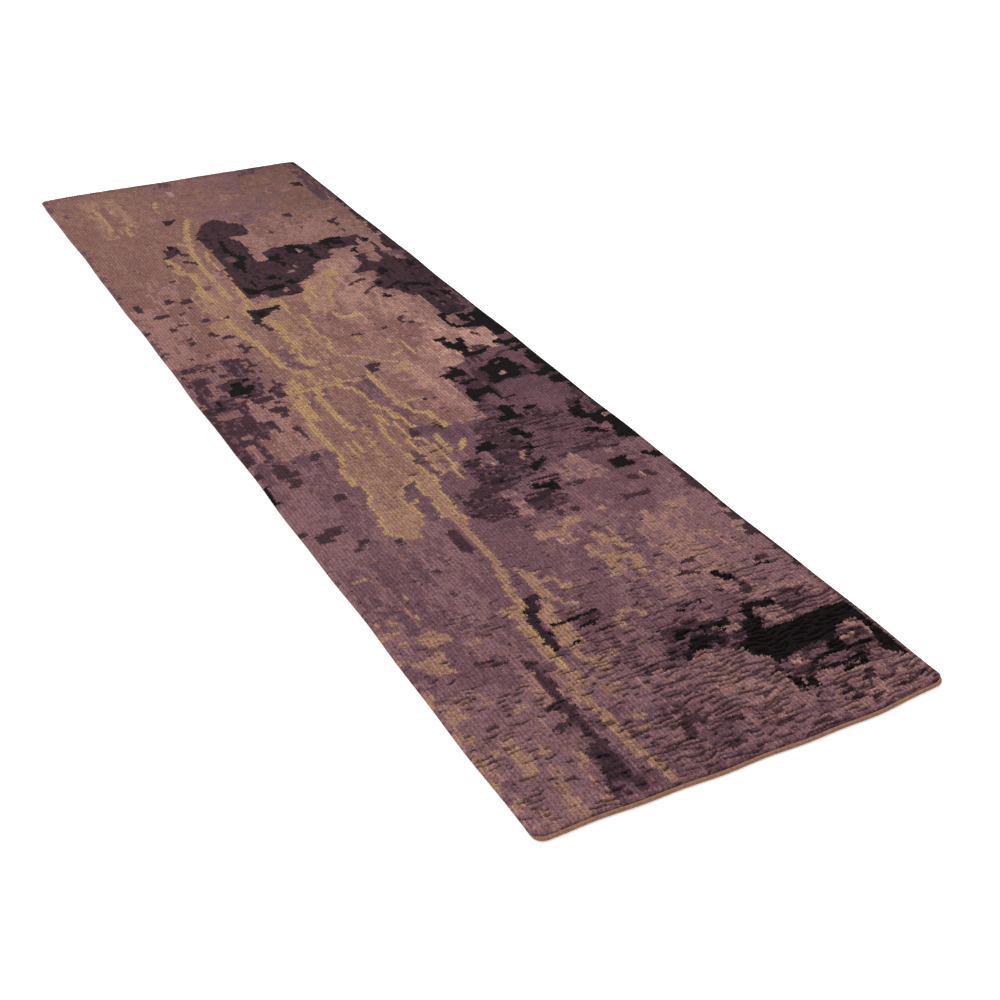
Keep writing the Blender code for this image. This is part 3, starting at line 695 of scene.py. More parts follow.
# the upper part of the tongue
zone(["clay", "taupe", "taupe", "clay"], streak, (20, 151), (20, 146), (19.3, 144), (19, 136), (18, 133),
     (18.3, 128), (17.4, 124), (17.4, 121.5), (18.5, 121), (18.5, 116), (17.8, 115), (17, 112), (35, 112),
     (35.6, 118), (36.4, 122), (38, 127), (38, 132), (36, 134.6), (35, 137), (35, 144), (33, 147),
     (36, 151))
mix("mauve", 0.12, streak, (18, 113), (36, 113), (36, 148), (20, 148))
mix("sand", 0.2, streak, (18.5, 112), (33, 112), (33, 122), (19, 122))
veins(
    "gold",
    (1.5, [(20.6, 151), (20, 146), (20, 141), (19.6, 137)]),
    (1.6, [(19.4, 137), (18.9, 132), (19, 127), (18.4, 122)]),
    (1.1, [(19, 121), (19, 116), (18, 113)]),
    (1.4, [(22.6, 150), (21.8, 144), (21, 138), (21.4, 134)]),
    (1.6, [(26.6, 148), (25.6, 144), (25, 138), (25.4, 132), (26, 127)]),
    (1.0, [(20, 148.6), (28, 148.8), (35, 149)]),
    (0.9, [(31.6, 148), (32, 145.4)]),
    (1.1, [(33.2, 145.8), (34.4, 143), (34.8, 137)]),
    (1.2, [(34.6, 135), (36.3, 132.4), (37, 127.2)]),
    (0.8, [(33.4, 131), (33.6, 126.4)]),
    (0.7, [(34, 127), (34.2, 124.4)]),
    (0.8, [(38.2, 126.6), (38, 124), (38.5, 120)]),
    (0.9, [(35.3, 125.8), (35.5, 117.4)]),
    (0.8, [(32, 127), (31.8, 122.4), (31.3, 117)]),
    (0.9, [(27.4, 122), (27, 118)]),
    (0.9, [(22.6, 122), (22.4, 116)]),
    (0.8, [(24, 122), (24.3, 116.6)]),
    (0.8, [(28, 126), (28.6, 124)]),
    (1.2, [(40.2, 151), (40, 143), (39.4, 140), (40.5, 137), (40.2, 134), (41, 130), (41.6, 128), (44, 127),
           (44.4, 122), (45, 118.4), (46, 117.2)]),
    (0.9, [(41, 133.8), (44.2, 134)]),
    (1.3, [(41, 112), (41.2, 116.4)]),
    (0.9, [(36, 117), (37.6, 116.4), (38.6, 113)]),
    (0.9, [(34.4, 117), (35, 112)]),
)
zone(["gold", "sand"], streak, (45.4, 147.5), (49.6, 147.5), (49.6, 151), (45.4, 151))
zone(["gold", "sand"], streak, (35, 147.4), (37.2, 147.4), (37.2, 149.2), (35, 149.2))
zone(["dusk", "mauve", "heather"], streak, (33.4, 147.6), (34.6, 144.6), (35.6, 142), (39, 142), (39, 147),
     (36.4, 147))
zone(["mauve", "heather", "heather"], streak, (35.8, 135), (37.4, 133), (39.4, 135), (38.8, 142),
     (35.8, 142))
zone(["plum", "dusk", "dusk"], blotch, (36, 117.6), (40, 118.2), (44.2, 117), (43.8, 121), (39.4, 121.8),
     (36.4, 122))
zone(["dusk", "mauve"], blotch, (42, 112.5), (48.4, 112.5), (48.4, 117.6), (46, 120), (43, 117.4))
zone(["sand", "rose"], streak, (44.8, 143), (46.8, 143), (46.8, 145), (45, 145.4))
paint("black_plum", (45.5, 131.8), (46.8, 131.8), (46.8, 133.5), (45.5, 133.5))
block("dusk", 47.7, 48.7, 132.6, 133.4)
zone(["plum", "dusk", "plum"], weft, (48.4, 112.5), (49, 117), (55, 118), (58, 116), (72, 113.6),
     (72, 112.5))
zone(["plum", "dusk"], weft, (54.8, 118), (58.6, 118.6), (58, 125), (55, 125))
zone(["dusk", "dusk", "mauve"], blotch, (62.4, 120), (76, 118), (79, 126), (76, 133), (63, 132))
paint_each(
    "charcoal",
    [(54.5, 141.6), (56.5, 141), (57, 142.5), (58.5, 144.6), (59.8, 144), (59.8, 139.4), (58, 139),
     (57, 140), (56.5, 136.6), (61.6, 136.6), (61, 135.2), (57, 135.4), (55.4, 137), (54.7, 139)],
    [(55.7, 131), (56.3, 133.6), (57.5, 132.6), (58, 131), (60, 131.6), (61.5, 132.2), (62.4, 130),
     (62.2, 125.7), (65.6, 125.5), (65, 124.7), (61.4, 124.7), (60.8, 128.4), (57.8, 128.7), (57.3, 125.4),
     (55.9, 125.1), (56, 129)],
    [(64.2, 142), (66, 141.4), (68, 144), (71, 145.1), (72.6, 143), (72.9, 138.5), (74.6, 138.1),
     (74, 136.2), (72, 136), (71.8, 134), (69, 133.4), (64, 132.6), (62.4, 133.2), (64, 136), (63.9, 139)],
    [(73.8, 134.2), (76, 133), (78, 135), (80, 135.6), (80, 130.8), (78, 132), (76, 130.9), (74.4, 131)],
    [(75.4, 129), (80, 130.6), (80, 125.9), (76, 126.4)],
    [(58.6, 121), (60, 123), (61, 122), (63.1, 121.2), (62.4, 120), (61.3, 119.5), (61.5, 115.4),
     (56.2, 115.2), (56.4, 117), (58.5, 117.5)],
    [(63.7, 118), (65, 119.6), (66.6, 119), (66.4, 117.4), (64, 117.2)],
    [(77.4, 144), (80, 145.4), (80, 135.8), (77, 137)],
    [(63.4, 150), (71, 150), (70, 148.4), (67, 147.4), (63.9, 148)],
    [(73, 146.4), (80, 148.8), (80, 146.4), (76, 145.4)],
    [(75, 149), (80, 149.4), (80, 151), (75, 151)],
    [(72, 112), (72.6, 115), (74.6, 114.6), (76, 116.6), (78.5, 118.2), (80, 119.4), (80, 118), (78, 117.4),
     (76.4, 115), (75, 112)],
    [(79, 118), (80, 118), (80, 126), (79, 125)],
)
zone(["rose", "blush"], blotch, (66.7, 136), (67.6, 138), (69.2, 137.6), (69, 135.4))
stroke("dusk", 0.7, (68.6, 141.4), (70, 142))
stroke("plum", 1.0, (70.6, 145.4), (74, 146.6))
tally()

# %% [markdown]
# ## The middle of the rug
# Gold veins run on through rose and taupe. The left edge has worn plum blocks, the right
# edge a ragged dark border.

# %% 150 to 187 cm
for outline in (
    [(1, 170.8), (7, 172.2), (9, 172.4), (8, 171), (7, 169.8), (5, 169), (2, 169), (1.9, 161.4),
     (1.2, 161.4), (1.2, 169)],
    [(2, 161), (6.6, 161), (6.6, 165.5), (2, 165.6)],
    [(1.4, 150), (3, 150), (3, 155), (5, 155.4), (5, 161), (1.8, 161), (1.2, 156)],
    [(3, 150), (8.4, 150), (8.2, 153), (6, 154), (3, 153)],
    [(11.4, 169), (11.4, 171.8), (14, 171.8), (16.4, 171.4), (16.2, 170), (15.7, 169), (15.6, 161),
     (12.4, 161), (12.2, 162.8), (9, 162.8), (9, 165.3), (11.8, 165.3)],
    [(7, 160.6), (12, 161.2), (16.4, 160.6), (16.8, 157), (16, 154), (14, 150), (11, 150.6), (8.4, 152),
     (8.4, 156), (7, 157)],
    [(16.3, 152), (17.5, 154.2), (19.5, 154.2), (20, 150), (17, 150)],
):
    zone(["plum", "plum", "dusk"], streak, *outline)
paint_each(
    "charcoal",
    [(8.4, 156), (10, 157), (10.4, 159.6), (12, 159), (12, 156.5), (13, 156), (13.5, 157.6), (14.8, 157),
     (14, 155), (13, 154), (12.5, 151.4), (11, 150.9), (11, 153), (8.4, 153.4)],
    [(13.1, 160.8), (14.9, 160.6), (14.6, 158.9), (13.2, 159.1)],
    [(3.4, 152.6), (5, 152.6), (4.6, 150), (3.7, 150.4)],
    [(16.5, 152), (17.4, 153.6), (17.2, 151.6)],
)
paint_each(
    "plum",
    [(5.3, 175.4), (6.4, 175.4), (6.4, 177), (5.3, 177)],
    [(10.3, 175.4), (11.1, 175.4), (11.1, 176.8), (10.3, 176.8)],
    [(18.5, 175), (18.6, 173), (20, 172.8), (20.2, 174.6), (21.8, 175.4), (21.4, 176.6), (20, 176.4),
     (19, 179.4), (18.3, 178)],
    [(8, 186), (9.6, 186), (9.6, 187.8), (8.2, 187.6)],
    [(14, 186.6), (15, 185.4), (16.4, 185.6), (16, 187.6), (14.4, 188)],
    [(15.8, 183.2), (19.4, 183.2), (19.4, 184.8), (16.2, 184.6)],
    [(8, 183.4), (10, 183.6), (9.8, 185), (8.2, 185)],
    [(44.7, 171), (45.5, 172.4), (47, 171.6), (47.8, 170.2), (46, 170.8)],
    [(52.6, 171), (54, 172.4), (54.4, 170.8)],
    [(57.4, 171.4), (59, 173), (58.6, 175), (60.4, 176.8), (61.8, 175.6), (60, 174.6), (59.8, 172),
     (58, 170.8)],
    [(60.7, 170.8), (61.5, 172.6), (62.5, 172), (62, 170.4)],
    [(61.7, 177.4), (62.4, 179), (62.8, 177.6)],
    [(64.8, 164), (66, 165.4), (66.8, 164.3), (65.6, 163.8)],
    [(67.4, 188), (69, 184.8), (70.4, 188)],
)
mix("mauve", 0.6, weft, (41, 181.4), (45.6, 181.6), (45.4, 183.2), (41, 183))
zone(["taupe", "sand", "sand", "clay"], streak, (32, 160), (37.4, 163), (37.4, 170), (38.6, 174),
     (37.4, 178), (38.6, 186), (39, 200), (31, 198), (31, 176), (32, 172))
zone(["taupe", "sand", "clay"], streak, (22, 150), (40, 150), (40, 156), (34, 160), (24, 158))
paint("sand", (15.6, 187), (17.6, 186.4), (19.6, 185.4), (20.4, 187.5), (19.4, 193), (17.4, 193.6),
      (15.4, 192))
veins(
    "gold",
    (1.9, [(21.4, 188), (21.4, 183), (22.6, 178), (22.9, 173), (23, 170)]),
    (1.8, [(23, 170), (23.6, 167), (24, 162), (24.6, 160), (25.4, 158.4), (27.4, 157)]),
    (1.6, [(30.6, 188), (30.6, 182), (30.4, 176)]),
    (0.9, [(39, 188), (38.8, 184), (38, 180), (37.6, 177), (38.4, 174), (39, 171), (37.4, 168), (37.4, 165),
           (38, 162), (41, 160), (43.4, 158), (44, 156.6), (46, 155), (48, 153), (50, 151), (51, 150)]),
    (0.8, [(36, 182.4), (36, 180)]),
    (1.0, [(45.6, 170), (45.4, 167)]),
    (1.0, [(54, 163), (54.5, 159), (54.3, 155.4)]),
    (0.7, [(52, 165), (52, 163)]),
    (0.8, [(49, 156.4), (51.6, 158)]),
    (0.8, [(44.6, 187.4), (44, 185.4)]),
)
paint("gold", (26.8, 174), (28.4, 175.6), (31, 176.4), (32.2, 173), (31.8, 170), (31, 166), (32, 163),
      (33, 161), (32.4, 157), (30.4, 158.4), (29.4, 160), (29, 162), (28.4, 164), (28, 167), (28, 170),
      (27, 172))
paint("gold", (26.4, 157.6), (28, 157), (33, 158), (33.5, 155), (34, 153), (33, 149.6), (27, 149.6),
      (26.4, 153), (27, 156))
paint("gold", (21.4, 152), (22.4, 156.2), (23.8, 155.6), (24.4, 152), (24, 149.6), (21.4, 149.6))
paint("gold", (46, 186), (46.2, 182), (46.4, 180.4), (50.5, 180.2), (52.4, 181), (52.3, 184), (51, 184),
      (50, 182.6), (47.5, 182.6), (46.8, 186))
mix("taupe", 0.3, blotch, (21, 150), (34, 150), (33, 176), (26, 176), (22, 160))
zone(["mauve", "heather", "mauve"], blotch, (25, 171), (27.8, 171), (28, 166), (28.8, 161), (30.4, 158.2),
     (27, 158.4), (25, 160.6), (25.4, 166))
paint("plum", (26.2, 188), (28.2, 188), (29.2, 184), (29.2, 182.2), (28, 182.8), (27, 186))
# the right edge
zone(["black_plum", "plum", "plum", "dusk"], streak, (69.4, 188), (70.3, 185), (70, 179), (70.3, 173),
     (73, 171.6), (80, 173), (80, 188))
paint_each(
    "charcoal",
    [(68.4, 171), (69.3, 172.9), (72, 172.7), (73, 171.3), (71, 171), (69.8, 170.6)],
    [(72.9, 171), (74.8, 171.2), (75, 166), (72.6, 166)],
    [(75.7, 170), (80, 172.4), (80, 155), (76, 156), (76, 160), (75.4, 162), (73, 162.4), (69.4, 163.4),
     (69.4, 165.6), (71, 164.9), (75, 165.6), (75.7, 167)],
    [(61.6, 160), (62, 156), (62.4, 153.6), (64, 152), (65, 149.6), (66.6, 149.6), (66.9, 152.5),
     (67.4, 155), (67.8, 158.4), (66.2, 158.6), (66.2, 156), (64.3, 155.5), (64.1, 160.4)],
    [(72.4, 178.9), (73.4, 180.6), (74.2, 178.4)],
    [(72.4, 187.6), (74.2, 186.2), (73.8, 182.8), (72.8, 183.6)],
    [(76.4, 186.6), (78.2, 184.2), (77, 182.4), (76, 184.4)],
    [(76, 180.6), (77.4, 179), (76.4, 178)],
    [(73, 153), (75, 153.6), (80, 155.2), (80, 149.6), (76, 149.6), (74, 151)],
)
paint("plum", (40.4, 153), (42, 154.6), (45, 154.2), (44.4, 152.6), (42.8, 152.4), (42.6, 150), (41, 150))
stroke("charcoal", 0.9, (69.3, 170.6), (69.1, 165))
paint("plum", (62.3, 157.4), (63.4, 157.4), (63.3, 159.2), (62.4, 159.2))
zone(["dusk", "plum"], blotch, (66.6, 150), (72.4, 150), (70.6, 152.6), (68, 153.4))
zone(["mauve", "dusk"], blotch, (76, 152.4), (80, 152.6), (80, 155.6), (76, 155.8))
zone(["pale_rose", "blush"], blotch, (69, 152.6), (73, 151.4), (74, 155), (75.4, 157), (73, 161),
     (68.6, 162), (67.8, 156))
paint("plum", (71, 160), (72.9, 159), (72.4, 157.4), (71, 158.4))
tally()

# %% [markdown]
# ## The large plum field
# A plum field opens above a dark wedge, with charcoal spots in it, and a second one comes
# in from the right edge.

# %% 187 to 225 cm
paint("gold", (21, 225), (23.6, 225), (23.9, 222), (23, 219), (22, 216), (22, 212), (23.1, 210),
      (23.1, 204), (22, 201), (22, 197), (21.5, 193), (21.4, 187.5), (19.4, 187.5), (19.4, 197),
      (17.4, 200.5), (19, 204), (19.4, 208), (19.4, 214), (21, 217), (21.4, 221))
mix("sand", 0.4, blotch, (17, 187.5), (24, 187.5), (24, 225), (17, 225))
paint("gold", (25.3, 225), (27, 225), (26.6, 217), (27.1, 211), (27.1, 205), (26, 202.8), (24.9, 206),
      (24.9, 210), (25.5, 215))
stroke("sand", 0.8, (30.3, 225), (30.3, 212))
stroke("gold", 1.1, (29.5, 212), (29.5, 206), (29, 204))
zone(["gold", "sand", "sand"], blotch, (24, 196), (25, 199), (27, 201), (28.4, 203.6), (30.1, 203.8),
     (30.4, 198.6), (36, 200), (37.2, 199.6), (37, 192), (36, 190), (36, 187.5), (28.4, 187.5),
     (26.6, 187.5), (25.7, 195.4))
stroke("gold", 1.0, (35, 199), (36.8, 198.6), (36.8, 195), (36, 192), (36, 190))
stroke("gold", 0.9, (26.4, 197), (26.4, 188))
zone(["taupe", "sand"], blotch, (28.6, 187.5), (36, 187.5), (36, 193), (33, 192.6), (31, 190.6))
paint("black_plum", (26.7, 197.1), (28, 196), (31, 196), (35.6, 196.1), (35.3, 192.9), (34, 193.8),
      (32.5, 193), (31, 191.5), (29, 190.4), (28.3, 189), (28, 187.5), (26.2, 187.5), (26.5, 189.5),
      (27, 191.5), (27, 194))
paint("charcoal", (28.2, 194.6), (30.8, 194.6), (30.6, 192), (29.3, 190.7), (28.2, 191.4))
paint("charcoal", (31, 195.6), (34.6, 195.4), (34, 194))
zone(["plum", "black_plum", "plum", "plum"], streak, (31, 225.5), (30.5, 217), (30.3, 210), (30.3, 204),
     (31, 203.4), (34.4, 204.4), (35, 201), (44.6, 201), (44.8, 206), (46.5, 207.5), (48, 209), (51, 211),
     (52.5, 215), (54.5, 218), (55, 219), (59.6, 219), (60.6, 221), (60.6, 225.5))
paint("rose", (39.8, 204), (41.6, 206), (41, 203))
paint("rose", (44.8, 215.4), (47.9, 216.6), (47.6, 214.3))
paint("heather", (48.3, 217), (49.4, 217.4), (49.2, 219.2), (48.4, 219))
paint_each(
    "charcoal",
    [(30.6, 211), (32.5, 210), (34, 207.5), (37, 208.2), (41, 208.2), (41.6, 206.4), (38, 205.4),
     (35.5, 206), (33, 204.8), (31.4, 206), (31, 208)],
    [(42, 210.2), (44.9, 210.8), (44.9, 207.4), (43.5, 207.4), (42.2, 209)],
    [(38.9, 214.5), (41, 216.2), (42.2, 215), (41.9, 211.8), (39.2, 212.1)],
    [(34.1, 215.6), (34.9, 215.2), (34.8, 210), (34.1, 211)],
    [(34, 225.5), (36, 225.5), (36.3, 221), (35.5, 219.6), (35, 222)],
    [(44.6, 225.5), (46.6, 223.5), (47.4, 220.4), (46.3, 219.6), (45.2, 221)],
    [(55, 225.5), (56.8, 225.5), (56.6, 221), (56, 219.8), (55.3, 221.5)],
)
zone(["sand", "blush", "sand"], streak, (42, 188), (43, 196), (44, 200), (46, 205), (48, 207.6),
     (52, 210.6), (55, 212.7), (57, 210.6), (58.1, 209), (56.5, 207.4), (54, 207), (53.2, 205), (53.5, 201),
     (52, 199.4), (50.6, 197), (49.8, 194.4), (48.5, 192.4), (47.5, 190), (47, 187.5))
veins(
    "gold",
    (1.0, [(42, 188), (43, 195), (44, 200), (46.2, 204), (46.9, 207.2)]),
    (1.1, [(46, 196), (46, 200), (47.2, 204)]),
    (0.9, [(48.4, 192), (49.6, 195), (50.2, 199.4)]),
    (1.0, [(53, 206.6), (53, 200)]),
)
paint("gold", (53, 210), (55, 213), (58.2, 209.4), (56, 207.4), (54, 208.4))
stroke("plum", 0.8, (56.8, 199.6), (58.5, 201), (60.4, 202.4), (61.3, 201.8))
stroke("plum", 0.7, (58.3, 193), (60, 195), (63.2, 196.9))
zone(["plum", "black_plum", "plum", "plum"], streak, (60.2, 207), (63, 209.5), (65, 212), (66, 216),
     (65, 217), (66, 218.5), (68.6, 219), (69, 216), (68, 214), (69, 211), (71, 212.5), (72, 216),
     (73, 222), (73.4, 226), (74.3, 226), (74.1, 220), (74, 215), (75, 211), (77, 209.5), (78, 213),
     (80, 214.4), (80, 187.5), (67.4, 187.5), (66.8, 190), (66, 193), (64, 193), (63, 196), (63, 199.5),
     (65.6, 201), (66, 206))
zone(["clay", "rose"], blotch, (68.4, 212), (70.6, 212), (70.4, 216), (68.6, 216))
zone(["clay", "rose"], blotch, (75, 210.2), (77, 210.6), (77.2, 213.6), (75.2, 213.4))
zone(["black_plum", "plum"], streak, (76.4, 226), (80, 226), (80, 216.6), (78, 216), (76.4, 219))
paint_each(
    "charcoal",
    [(66.7, 219.4), (68.1, 219.4), (68.1, 224), (66.9, 224)],
    [(67, 206), (69, 207.2), (70, 205), (69, 203.4), (66.9, 202.8)],
    [(62.9, 198), (65, 199.6), (65.4, 197), (63.4, 196.3)],
    [(64.9, 194), (67, 196), (69.6, 197.1), (69.6, 195.7), (67, 194.4), (65.7, 192.9)],
    [(69, 194.2), (71, 194.6), (74, 193.6), (76.1, 192), (76.1, 189.3), (75, 189.9), (74, 191.4),
     (71, 192.6), (69.3, 192.9)],
    [(61.6, 189), (62.5, 191.2), (63.6, 189), (63.4, 187.5), (61.9, 187.6)],
    [(68, 193), (69.2, 192.6), (69.2, 189.4), (68.4, 189.6)],
    [(73.5, 209), (75, 210.1), (76.4, 209.6), (75.6, 207.8), (74, 207.9)],
    [(77.3, 196.2), (79.2, 195.2), (79.2, 193.2), (78, 194)],
    [(76, 207), (77.5, 209.2), (78.2, 205), (76.2, 204.4)],
    [(72, 197), (73.4, 197.4), (73.2, 195.6)],
    [(74, 200), (75.2, 199.4), (74.4, 198.4)],
)
paint_each(
    "plum",
    [(2.3, 207), (4.2, 207), (4.3, 211.4), (2.6, 211.4)],
    [(10.4, 209.5), (12.8, 209.5), (12.7, 212.2), (10.6, 211.4)],
    [(14.2, 207.6), (17, 207.2), (17.3, 210), (14.4, 210.9)],
    [(14.4, 204), (15.8, 204), (15.7, 205.6), (14.5, 205.4)],
    [(5.1, 201.4), (8.6, 201.4), (8.4, 203.4), (5.6, 203)],
    [(11.9, 201.2), (13.4, 201.4), (13.2, 203), (12, 202.6)],
    [(8.7, 195), (10, 196.6), (11.8, 195.6), (11, 194.8)],
    [(6.9, 193), (8.4, 193.2), (8, 194.6), (7, 194.4)],
    [(14.9, 196), (16.5, 197.2), (17.1, 195), (15.5, 194.4)],
    [(0, 193), (1.4, 193.2), (1, 194.7), (0, 194.7)],
    [(0.3, 217.4), (1.8, 217.6), (1.6, 219.1), (0.4, 219)],
    [(15.6, 222), (16.7, 222), (16.6, 224.1), (15.7, 224)],
    [(20.8, 194), (22, 194), (22, 195.6), (20.8, 195.4)],
)
block("dusk", 0.6, 2.4, 202.4, 203.4)
block("mauve", 22.2, 24, 213, 216.4)
tally()

# %% [markdown]
# ## The top of the plum field
# The plum field narrows to a rounded head, with one gold vein beside it. The ground
# around is pale rose and taupe with few specks.

# %% 225 to 262 cm
veins(
    "gold",
    (1.5, [(34, 264.6), (32, 260), (31, 257.4), (30.4, 254), (29.2, 251), (28.8, 247), (28, 244), (27, 240),
           (26.8, 236), (26.4, 230), (26.1, 224.5)]),
    (1.7, [(19.6, 237.6), (19.5, 235.6), (20.5, 234), (20.5, 231), (19.4, 229.4), (19.6, 227.4), (21, 226),
           (22, 224.6)]),
    (1.1, [(25.6, 248), (27, 245.4)]),
    (0.8, [(30.5, 239), (30.4, 236)]),
    (0.7, [(29.9, 236), (29.5, 232), (29.8, 225)]),
)
paint("gold", (18.4, 230), (20.5, 231), (21, 227), (19.5, 226.4))
paint_each(
    "plum",
    [(21.8, 248), (24, 247.2), (24.4, 243), (25, 241), (26, 239), (25, 238), (24, 239), (23.4, 240.6),
     (22.5, 240), (20.5, 239), (19.5, 238), (18.9, 239), (20, 241), (20.4, 244), (20.5, 246.2),
     (21.8, 244.5), (22.8, 246)],
    [(22.9, 235), (24.5, 235.2), (25.6, 233), (25.5, 230.9), (24.5, 231.8), (24, 233.5), (22.9, 234)],
    [(18.1, 234.2), (19.6, 234), (19, 232.3)],
)
mix("charcoal", 0.4, blotch, (21.8, 248), (24, 247.2), (24.4, 243), (25, 241), (26, 239), (25, 238),
    (24, 239), (23.4, 240.6))
zone(["plum", "plum", "black_plum", "plum"], streak, (31.6, 225), (31.8, 235), (32, 240), (31.4, 250),
     (33, 253), (35, 256.6), (37, 260), (38.5, 261.1), (41, 260.6), (42.6, 260), (43.5, 257), (46, 255.6),
     (46.6, 252), (46.4, 249.5), (45.5, 247.5), (45, 245.9), (43, 246.4), (40, 247.5), (40, 245),
     (41.6, 242), (41.8, 237), (42.4, 236), (41, 233.5), (41, 231), (41, 228), (40.6, 225))
zone(["plum", "black_plum", "plum"], streak, (40.4, 224.6), (44.4, 225), (44.2, 232), (47, 233.1),
     (51, 233.6), (54, 233.1), (58, 231.5), (61, 232), (64, 234), (67.9, 233.6), (68, 232), (73.1, 232.4),
     (72.8, 230), (73.6, 228), (72.5, 225.6), (71.5, 229.6), (70, 228.5), (70, 224.6))
paint("rose", (41.2, 226.4), (41.4, 230.6), (44, 231.1), (44.1, 228), (42.5, 226.3))
paint_each(
    "charcoal",
    [(35.7, 244.5), (37.6, 245.1), (37, 241), (36.5, 239.5), (37.3, 236), (37.1, 234), (38.6, 232),
     (38.8, 229), (37.6, 226), (36, 224.6), (33.4, 224.6), (34.5, 228), (36.5, 228.6), (36.3, 232),
     (35.4, 235), (35.2, 239), (35.9, 241)],
    [(43.4, 224.6), (44, 228), (48.1, 228.4), (47.9, 224.6)],
    [(50.1, 228), (50.7, 231), (51.4, 233.4), (54, 232.6), (56.6, 231.6), (57.1, 226), (56, 224.6),
     (55.5, 228.5), (54.5, 226), (52, 226.3)],
    [(60.9, 230), (61.4, 232), (64, 233.8), (67.8, 233.6), (67.6, 231.4), (65.6, 231), (66.9, 229),
     (66.6, 226.9), (64.4, 227.9), (63, 230.5), (62.6, 225.8), (61.4, 226.3), (61.7, 229)],
    [(72.4, 230), (73.8, 229), (73.6, 226.4), (72.6, 226.4)],
)
zone(["dusk", "mauve"], streak, (33.4, 228.4), (36, 228.6), (36, 232.6), (34, 232.4))
zone(["dusk", "rose"], streak, (53.2, 227.2), (54.6, 227.4), (54.4, 230), (53.3, 230))
paint("rose", (70, 224.6), (72, 224.6), (71.8, 228.4), (70.4, 228.2))
paint_each(
    "plum",
    [(59.3, 256.6), (62.1, 256.8), (62.1, 254), (61.4, 253.2), (60, 254)],
    [(50.7, 244), (51.4, 246.1), (53.1, 244.6), (52.5, 243.3)],
    [(60.1, 241.8), (60.7, 245.2), (61.3, 244.4), (60.7, 241.4)],
    [(68.7, 244.5), (70, 246.2), (72.9, 247.5), (72.6, 246), (70.9, 244.5), (71.5, 242), (70.5, 240.8),
     (69.7, 242.4)],
    [(69.9, 238.6), (71.2, 238.2), (70.6, 236.2)],
)
for outline in (
    [(77, 245), (80, 245.4), (80, 240), (78, 241)],
    [(78, 239), (80, 238.4), (80, 234), (78.4, 231), (76.9, 232), (77.6, 235)],
    [(77.5, 225), (80, 225), (80, 229.4), (77.9, 229)],
    [(77.4, 260), (80, 263), (80, 257.4)],
    [(79, 214), (80, 214), (80, 264), (79, 264)],
):
    zone(["black_plum", "plum"], streak, *outline)
zone(["mauve", "heather"], streak, (46.6, 253), (52, 253), (52, 262), (47, 262))
tally()

# %% [markdown]
# ## The far end
# The far end is nearly plain, with faint gold traces and a few specks. Near its right
# edge dusk and plum knots are painted shade, which makes it darker there.

# %% 262 to 300 cm
veins(
    "gold",
    (1.4, [(10, 290.4), (10.4, 287), (11.6, 284), (12.6, 281), (12, 278), (12.4, 273), (12.6, 268),
           (12.2, 266)]),
    (0.9, [(16.4, 281), (16.4, 279), (17, 276.4)]),
    (1.1, [(16.6, 271.6), (18.4, 270.6), (18.6, 268), (17, 266.4), (16, 264), (16, 259.6)]),
    (1.0, [(29.6, 282.6), (29, 280), (28.3, 277.4)]),
)
mix("sand", 0.45, blotch, (9, 259), (20, 259), (20, 292), (9, 292))
stroke("sand", 0.9, (28, 277), (28.4, 273.6))
stroke("blush", 1.2, (36, 289.4), (36, 285.6))
mix("rose", 0.5, blotch, (47, 275.4), (54, 275.4), (54, 280.4), (48, 280.4))
mix("rose", 0.5, blotch, (62.6, 274.6), (69.4, 274.6), (69.4, 277.8), (62.6, 277.8))
mix("rose", 0.5, blotch, (23, 267.6), (26.4, 267.6), (26.4, 271.4), (23, 271.4))
paint_each(
    "black_plum",
    [(70.9, 281), (73, 281.6), (74.7, 279), (73.6, 276.8), (71.7, 277.3)],
    [(26.9, 263.6), (27.4, 266.8), (29, 266.2), (31.1, 266.8), (30.6, 265), (29, 264), (27.5, 262.6)],
)
paint("dusk", (2.6, 281.4), (4.2, 281.6), (4, 284.4), (2.8, 284))
mix("dusk", 0.5, blotch, (32, 293.6), (38, 293.6), (38, 298.6), (32, 298.6))
mix("dusk", 0.6, blotch, (60, 293.6), (66, 293.6), (66, 300), (60, 300))
# Dusk and plum knots along the right edge are painted shade.
mix("dusk", 0.6, blotch, (74, 262), (80, 262), (80, 300), (76, 300))
mix("plum", 0.5, streak, (78.8, 262), (80, 262), (80, 300), (78.8, 300))
tally()

# %% [markdown]
# ## From chart to pile
# On the loom the pile is made knot by knot, but nobody models a hundred thousand knots.
# One fine sheet of faces over the whole rug does it: four faces across each rib and two
# along each row, bent by one height for every corner. Ribs, beaten rows and the places
# where rows have parted are all in that height. A second number at each corner is painted
# shade, and the wool finish darkens by it: most in the hollows between ribs and in parted
# rows, some along the right side, the far right and the edges, with a little random mottle.

# %% How deep the pile opens
COLUMNS, LINES = RIBS * 4, ROWS * 2
# The last corners stay a hair inside, so that they still fall in a patch.
grid_x, grid_y = np.meshgrid(np.linspace(0, 79.999, COLUMNS + 1), np.linspace(0, 299.999, LINES + 1))
RUN = 1.5  # centimetres, the least length of a parted run
RIB_DIP, ROW_GAP, TUFT_DIP, SEAM_DIP, WANDER = 0.0012, 0.0036, 0.0016, 0.0003, 0.0004  # metres


def ripple(wide, tall):
    """Smooth random field over the corners of the pile"""
    return random_field(grid_x, grid_y, wide, tall)


def ramp(at, start, end):
    """0 at the start and 1 at the end, even in between"""
    return np.clip((at - start) / (end - start), 0, 1)


